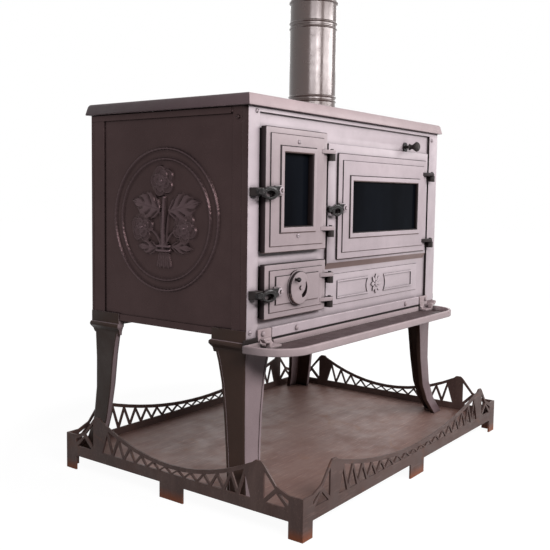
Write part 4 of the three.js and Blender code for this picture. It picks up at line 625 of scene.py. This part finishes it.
def medallion_height(a, b):
    """Height of the relief over the field; a and b run from the medallion's centre."""
    r = np.hypot(a, b)
    angle = np.arctan2(b, a)
    parts = [rope_ring(r, angle, RING_OUTER, 3.1, 3.0, 84, 1.6),
             rope_ring(r, angle, RING_INNER, 2.9, 2.8, 72, -1.6)]
    parts += [leaf_height(a, b, *leaf) for leaf in LEAVES]
    parts += [curve_ridge(a, b, *stem) for stem in STEMS]
    parts += [rose_height(a, b, *rose) for rose in ROSES]
    for k in range(STALKS):  # they fan out, every second one a little longer
        top = (-13 + 4.4 * k, -70)
        foot = (-20 + 6.6 * k, -103 - (2.5 if k % 2 else 0))
        parts.append(curve_ridge(a, b, (top, ((top[0] + foot[0]) / 2, -88), foot), 2.6, 3.6, 3.0))
    bands = np.maximum(half_round(b + TIE_Z[0], 5, 4.6), half_round(b + TIE_Z[1], 5, 4.6))
    tie = np.where(np.abs(a) < TIE_HALF, bands, 0)
    parts.append(tie * np.clip((TIE_HALF - np.abs(a)) / 2.5, 0, 1) ** 0.5)
    return np.maximum.reduce(parts)


def medallion_patch(outward, face, count=271):
    """Dense skin of the relief; outward is -1 on the left side and +1 on the right."""
    line = np.linspace(-MEDAL_HALF, MEDAL_HALF, count)
    a, b = np.meshgrid(line, line, indexing="ij")
    raised = medallion_height(a, b)
    soft = raised.copy()
    soft[1:-1, 1:-1] = (raised[1:-1, 1:-1] * 4 + raised[:-2, 1:-1] + raised[2:, 1:-1] + raised[1:-1, :-2]
                        + raised[1:-1, 2:]) / 8
    x = face + outward * (1.8 * soft + 0.02)
    kept = np.hypot(a, b) < MEDAL_EDGE
    points = np.stack([x + BODY_AT[0], MEDAL_Y + a + BODY_AT[1], MEDAL_Z + b + BODY_AT[2]], -1)
    faces = []
    for i in range(count - 1):
        for j in range(count - 1):
            if kept[i, j]:
                k = i * count + j
                quad = (k, k + 1, k + count + 1, k + count)
                faces.append(quad if outward < 0 else quad[::-1])
    mesh = bpy.data.meshes.new("medallion")
    mesh.from_pydata((points.reshape(-1, 3) * MM).tolist(), [], faces)
    return mesh


BORDER_T = SIDE_BORDER + 1  # the borders reach 1 mm into the plate behind the field
SIDE_BOXES = (  # depth from the outer face, y and z, each from and to
    (SIDE_BORDER, SIDE_T, SIDE_Y0, SIDE_Y1, 0, BODY_H),
    (0, BORDER_T, SIDE_Y0, FIELD_Y0, 0, BODY_H), (0, BORDER_T, FIELD_Y1, SIDE_Y1, 0, BODY_H),
    (0, BORDER_T, FIELD_Y0, FIELD_Y1, 0, FIELD_Z0), (0, BORDER_T, FIELD_Y0, FIELD_Y1, FIELD_Z1, BODY_H),
    (-1.8, 1, 46, SIDE_Y1 + 6, FIELD_Z1 - 2, BODY_H - 1))  # ledge under the cooking top
for side, outward, face in (("left", -1, 0.0), ("right", 1, BODY_W)):
    bm = bmesh.new()
    for d0, d1, y0, y1, z0, z1 in SIDE_BOXES:
        box_into(bm, *sorted((face - outward * d0, face - outward * d1)), y0, y1, z0, z1)
    panel = piece(f"side_panel_{side}_fine", outwards(bm), PAINT_SIDE)
    round_edges(panel, 0.9)
    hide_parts(f"side_panel_{side}")
    piece(f"side_medallion_{side}", medallion_patch(outward, face - outward * SIDE_BORDER), PAINT_RELIEF[side])

# ---------------------------------------------------------------- screws
# radius and height of a domed head, as shares of its radius
SCREW_DOME = ((1.0, 0.0), (1.0, 0.25), (0.93, 0.42), (0.75, 0.56), (0.45, 0.66))
SCREW_TOP = 0.7
SCREW_SIDES = 20
SLOT_LENGTH, SLOT_WIDTH, SLOT_FOOT, SLOT_TOP = 0.86, 0.13, 0.3, 0.705


def screw(name, place, normal, radius, turn, body="stove", material=PAINT_DOOR):
    """Domed screw head standing on a surface, with its driver slot a dark box: painted shade in the slot."""
    normal = Vector(normal).normalized()
    side = normal.orthogonal().normalized()
    other = normal.cross(side)
    base = at(*place)
    bm = bmesh.new()
    rings = []
    for r, h in SCREW_DOME:
        rings.append([bm.verts.new(base + (side * math.cos(t) + other * math.sin(t)) * r * radius * MM
                                   + normal * h * radius * MM)
                      for t in [2 * math.pi * i / SCREW_SIDES for i in range(SCREW_SIDES)]])
    top = bm.verts.new(base + normal * SCREW_TOP * radius * MM)
    sides = [(i, (i + 1) % SCREW_SIDES) for i in range(SCREW_SIDES)]
    for lower, upper in zip(rings, rings[1:]):
        for i, j in sides:
            bm.faces.new([lower[i], lower[j], upper[j], upper[i]])
    for i, j in sides:
        bm.faces.new([rings[-1][i], rings[-1][j], top])
    piece(name, outwards(bm), material, body)
    bm = bmesh.new()
    along = (side * math.cos(turn) + other * math.sin(turn)) * radius * SLOT_LENGTH * MM
    wide = normal.cross(along).normalized() * radius * SLOT_WIDTH * MM
    heights = (normal * SLOT_FOOT * radius * MM, normal * SLOT_TOP * radius * MM)
    box_of(bm, [base + h + along * i + wide * j for h in heights for i in (-1, 1) for j in (-1, 1)])
    piece(name + "_slot_shade", outwards(bm), PAINT_DARK_AND_SHADE, body, smooth=False)


for i, (x, z) in enumerate(((27.3, 472.6), (843, 461), (10.6, 13))):
    screw(f"frame_screw_{i}", (x, 0, z), FRONT, 4.6, 0.3 + i)
for i, z in enumerate((416, 212)):
    screw(f"door_screw_{i}", (157, -16.4, z), FRONT, 4.4, 1.2 + i, "firebox_door")
screw("side_screw_left", (0, 28, 459), (-1, 0, 0), 4.6, 0.5, material=PAINT_SIDE)
screw("side_screw_right", (BODY_W, 28, 459), (1, 0, 0), 4.6, 0.9, material=PAINT_SIDE)

# ---------------------------------------------------------------- camera, fitted to the photo's edges
camera_data = bpy.data.cameras.new("camera")
camera = bpy.data.objects.new("camera", camera_data)
scene.collection.objects.link(camera)
scene.camera = camera
PHOTO = 550  # pixels
FOCAL, CENTRE_X, CENTRE_Y = 800.2, 273.3, 261.4  # pixels
YAW, PITCH, ROLL = -0.9311, -0.0831, 0.0138
UNIT = 0.88  # the fit was made with a body 1000 wide
right0, fwd0, up0 = Vector((1, 0, 0)), Vector((0, 1, 0)), Vector((0, 0, 1))
fwd1 = fwd0 * math.cos(PITCH) + up0 * math.sin(PITCH)
up1 = up0 * math.cos(PITCH) - fwd0 * math.sin(PITCH)
right2 = right0 * math.cos(ROLL) + up1 * math.sin(ROLL)
up2 = up1 * math.cos(ROLL) - right0 * math.sin(ROLL)
turn = Matrix.Rotation(YAW, 3, "Z")
rotation = Matrix([turn @ v for v in (right2, up2, -fwd1)]).transposed().to_4x4()
camera.matrix_world = Matrix.Translation(at(-1459.1 * UNIT, -1162.0 * UNIT, 342.0 * UNIT)) @ rotation
camera_data.sensor_width = 36
camera_data.lens = FOCAL * 36 / PHOTO
camera_data.shift_x = (PHOTO / 2 - CENTRE_X) / PHOTO
camera_data.shift_y = (CENTRE_Y - PHOTO / 2) / PHOTO
camera_data.clip_start, camera_data.clip_end = 0.05, 60

# ---------------------------------------------------------------- floor and world, white where they are seen
FLOOR_HALF = 14
floor_mesh = bpy.data.meshes.new("floor")
floor_mesh.from_pydata([(x * FLOOR_HALF, y * FLOOR_HALF, 0) for x, y in ((-1, -1), (1, -1), (1, 1), (-1, 1))],
                       [], [(0, 1, 2, 3)])
floor = bpy.data.objects.new("floor", floor_mesh)
scene.collection.objects.link(floor)
n = material_nodes("studio_floor")
reach = n.add("ShaderNodeVectorMath", operation="LENGTH")
n.link(n.coords, reach.inputs[0])
far = n.grey(reach.outputs["Value"], 0.75, 1.3)
glow = n.add("ShaderNodeEmission")
n.link(n.maths("ADD", 0.95, n.maths("MULTIPLY", far, 0.05)), glow.inputs["Strength"])
plain = n.add("ShaderNodeBsdfDiffuse", Color=(0.12, 0.12, 0.12, 1))
both = n.join("ShaderNodeAddShader", plain.outputs[0], glow.outputs[0])
n.link(n.join("ShaderNodeMixShader", n.seen_directly(), plain.outputs[0], both), n.surface)
floor_mesh.materials.append(n.owner)

scene.world = bpy.data.worlds.new("studio")
n = Nodes(scene.world, "ShaderNodeOutputWorld")
bright = n.add("ShaderNodeBackground", Color=WHITE)
dim = n.add("ShaderNodeBackground", Color=(0.03, 0.029, 0.029, 1))
n.link(n.join("ShaderNodeMixShader", n.seen_directly(), dim.outputs[0], bright.outputs[0]), n.surface)

# ---------------------------------------------------------------- lamps
LAMP_TINT = (1.0, 0.985, 0.985)
for name, place, target, width, height, power, color in (
        ("key", (-0.95, -2.15, 1.5), (-0.1, -0.1, 0.75), 0.9, 0.5, 20, LAMP_TINT),
        ("front_key", (0.69, -2.09, 1.48), (0.1, -0.1, 0.9), 1.2, 0.48, 19, LAMP_TINT),
        ("side_key", (1.77, -1.59, 1.48), (0.1, -0.1, 0.9), 1.2, 0.48, 25, LAMP_TINT),
        ("front_left", (-1.49, -1.27, 1.48), (0.1, 0.0, 1.0), 1.5, 0.5, 19, (1.0, 0.985, 1.0)),
        ("back_fill", (2.3, 1.4, 1.9), (0.1, 0.0, 0.7), 1.6, 1.0, 16, LAMP_TINT)):
    lamp = bpy.data.lights.new(name, "AREA")
    lamp.shape = "RECTANGLE"
    lamp.size, lamp.size_y = width, height
    lamp.energy = power
    lamp.color = color
    stand = bpy.data.objects.new(name, lamp)
    scene.collection.objects.link(stand)
    stand.location = place
    stand.rotation_euler = (Vector(target) - Vector(place)).to_track_quat("-Z", "Y").to_euler()

scene.view_settings.view_transform = "Standard"
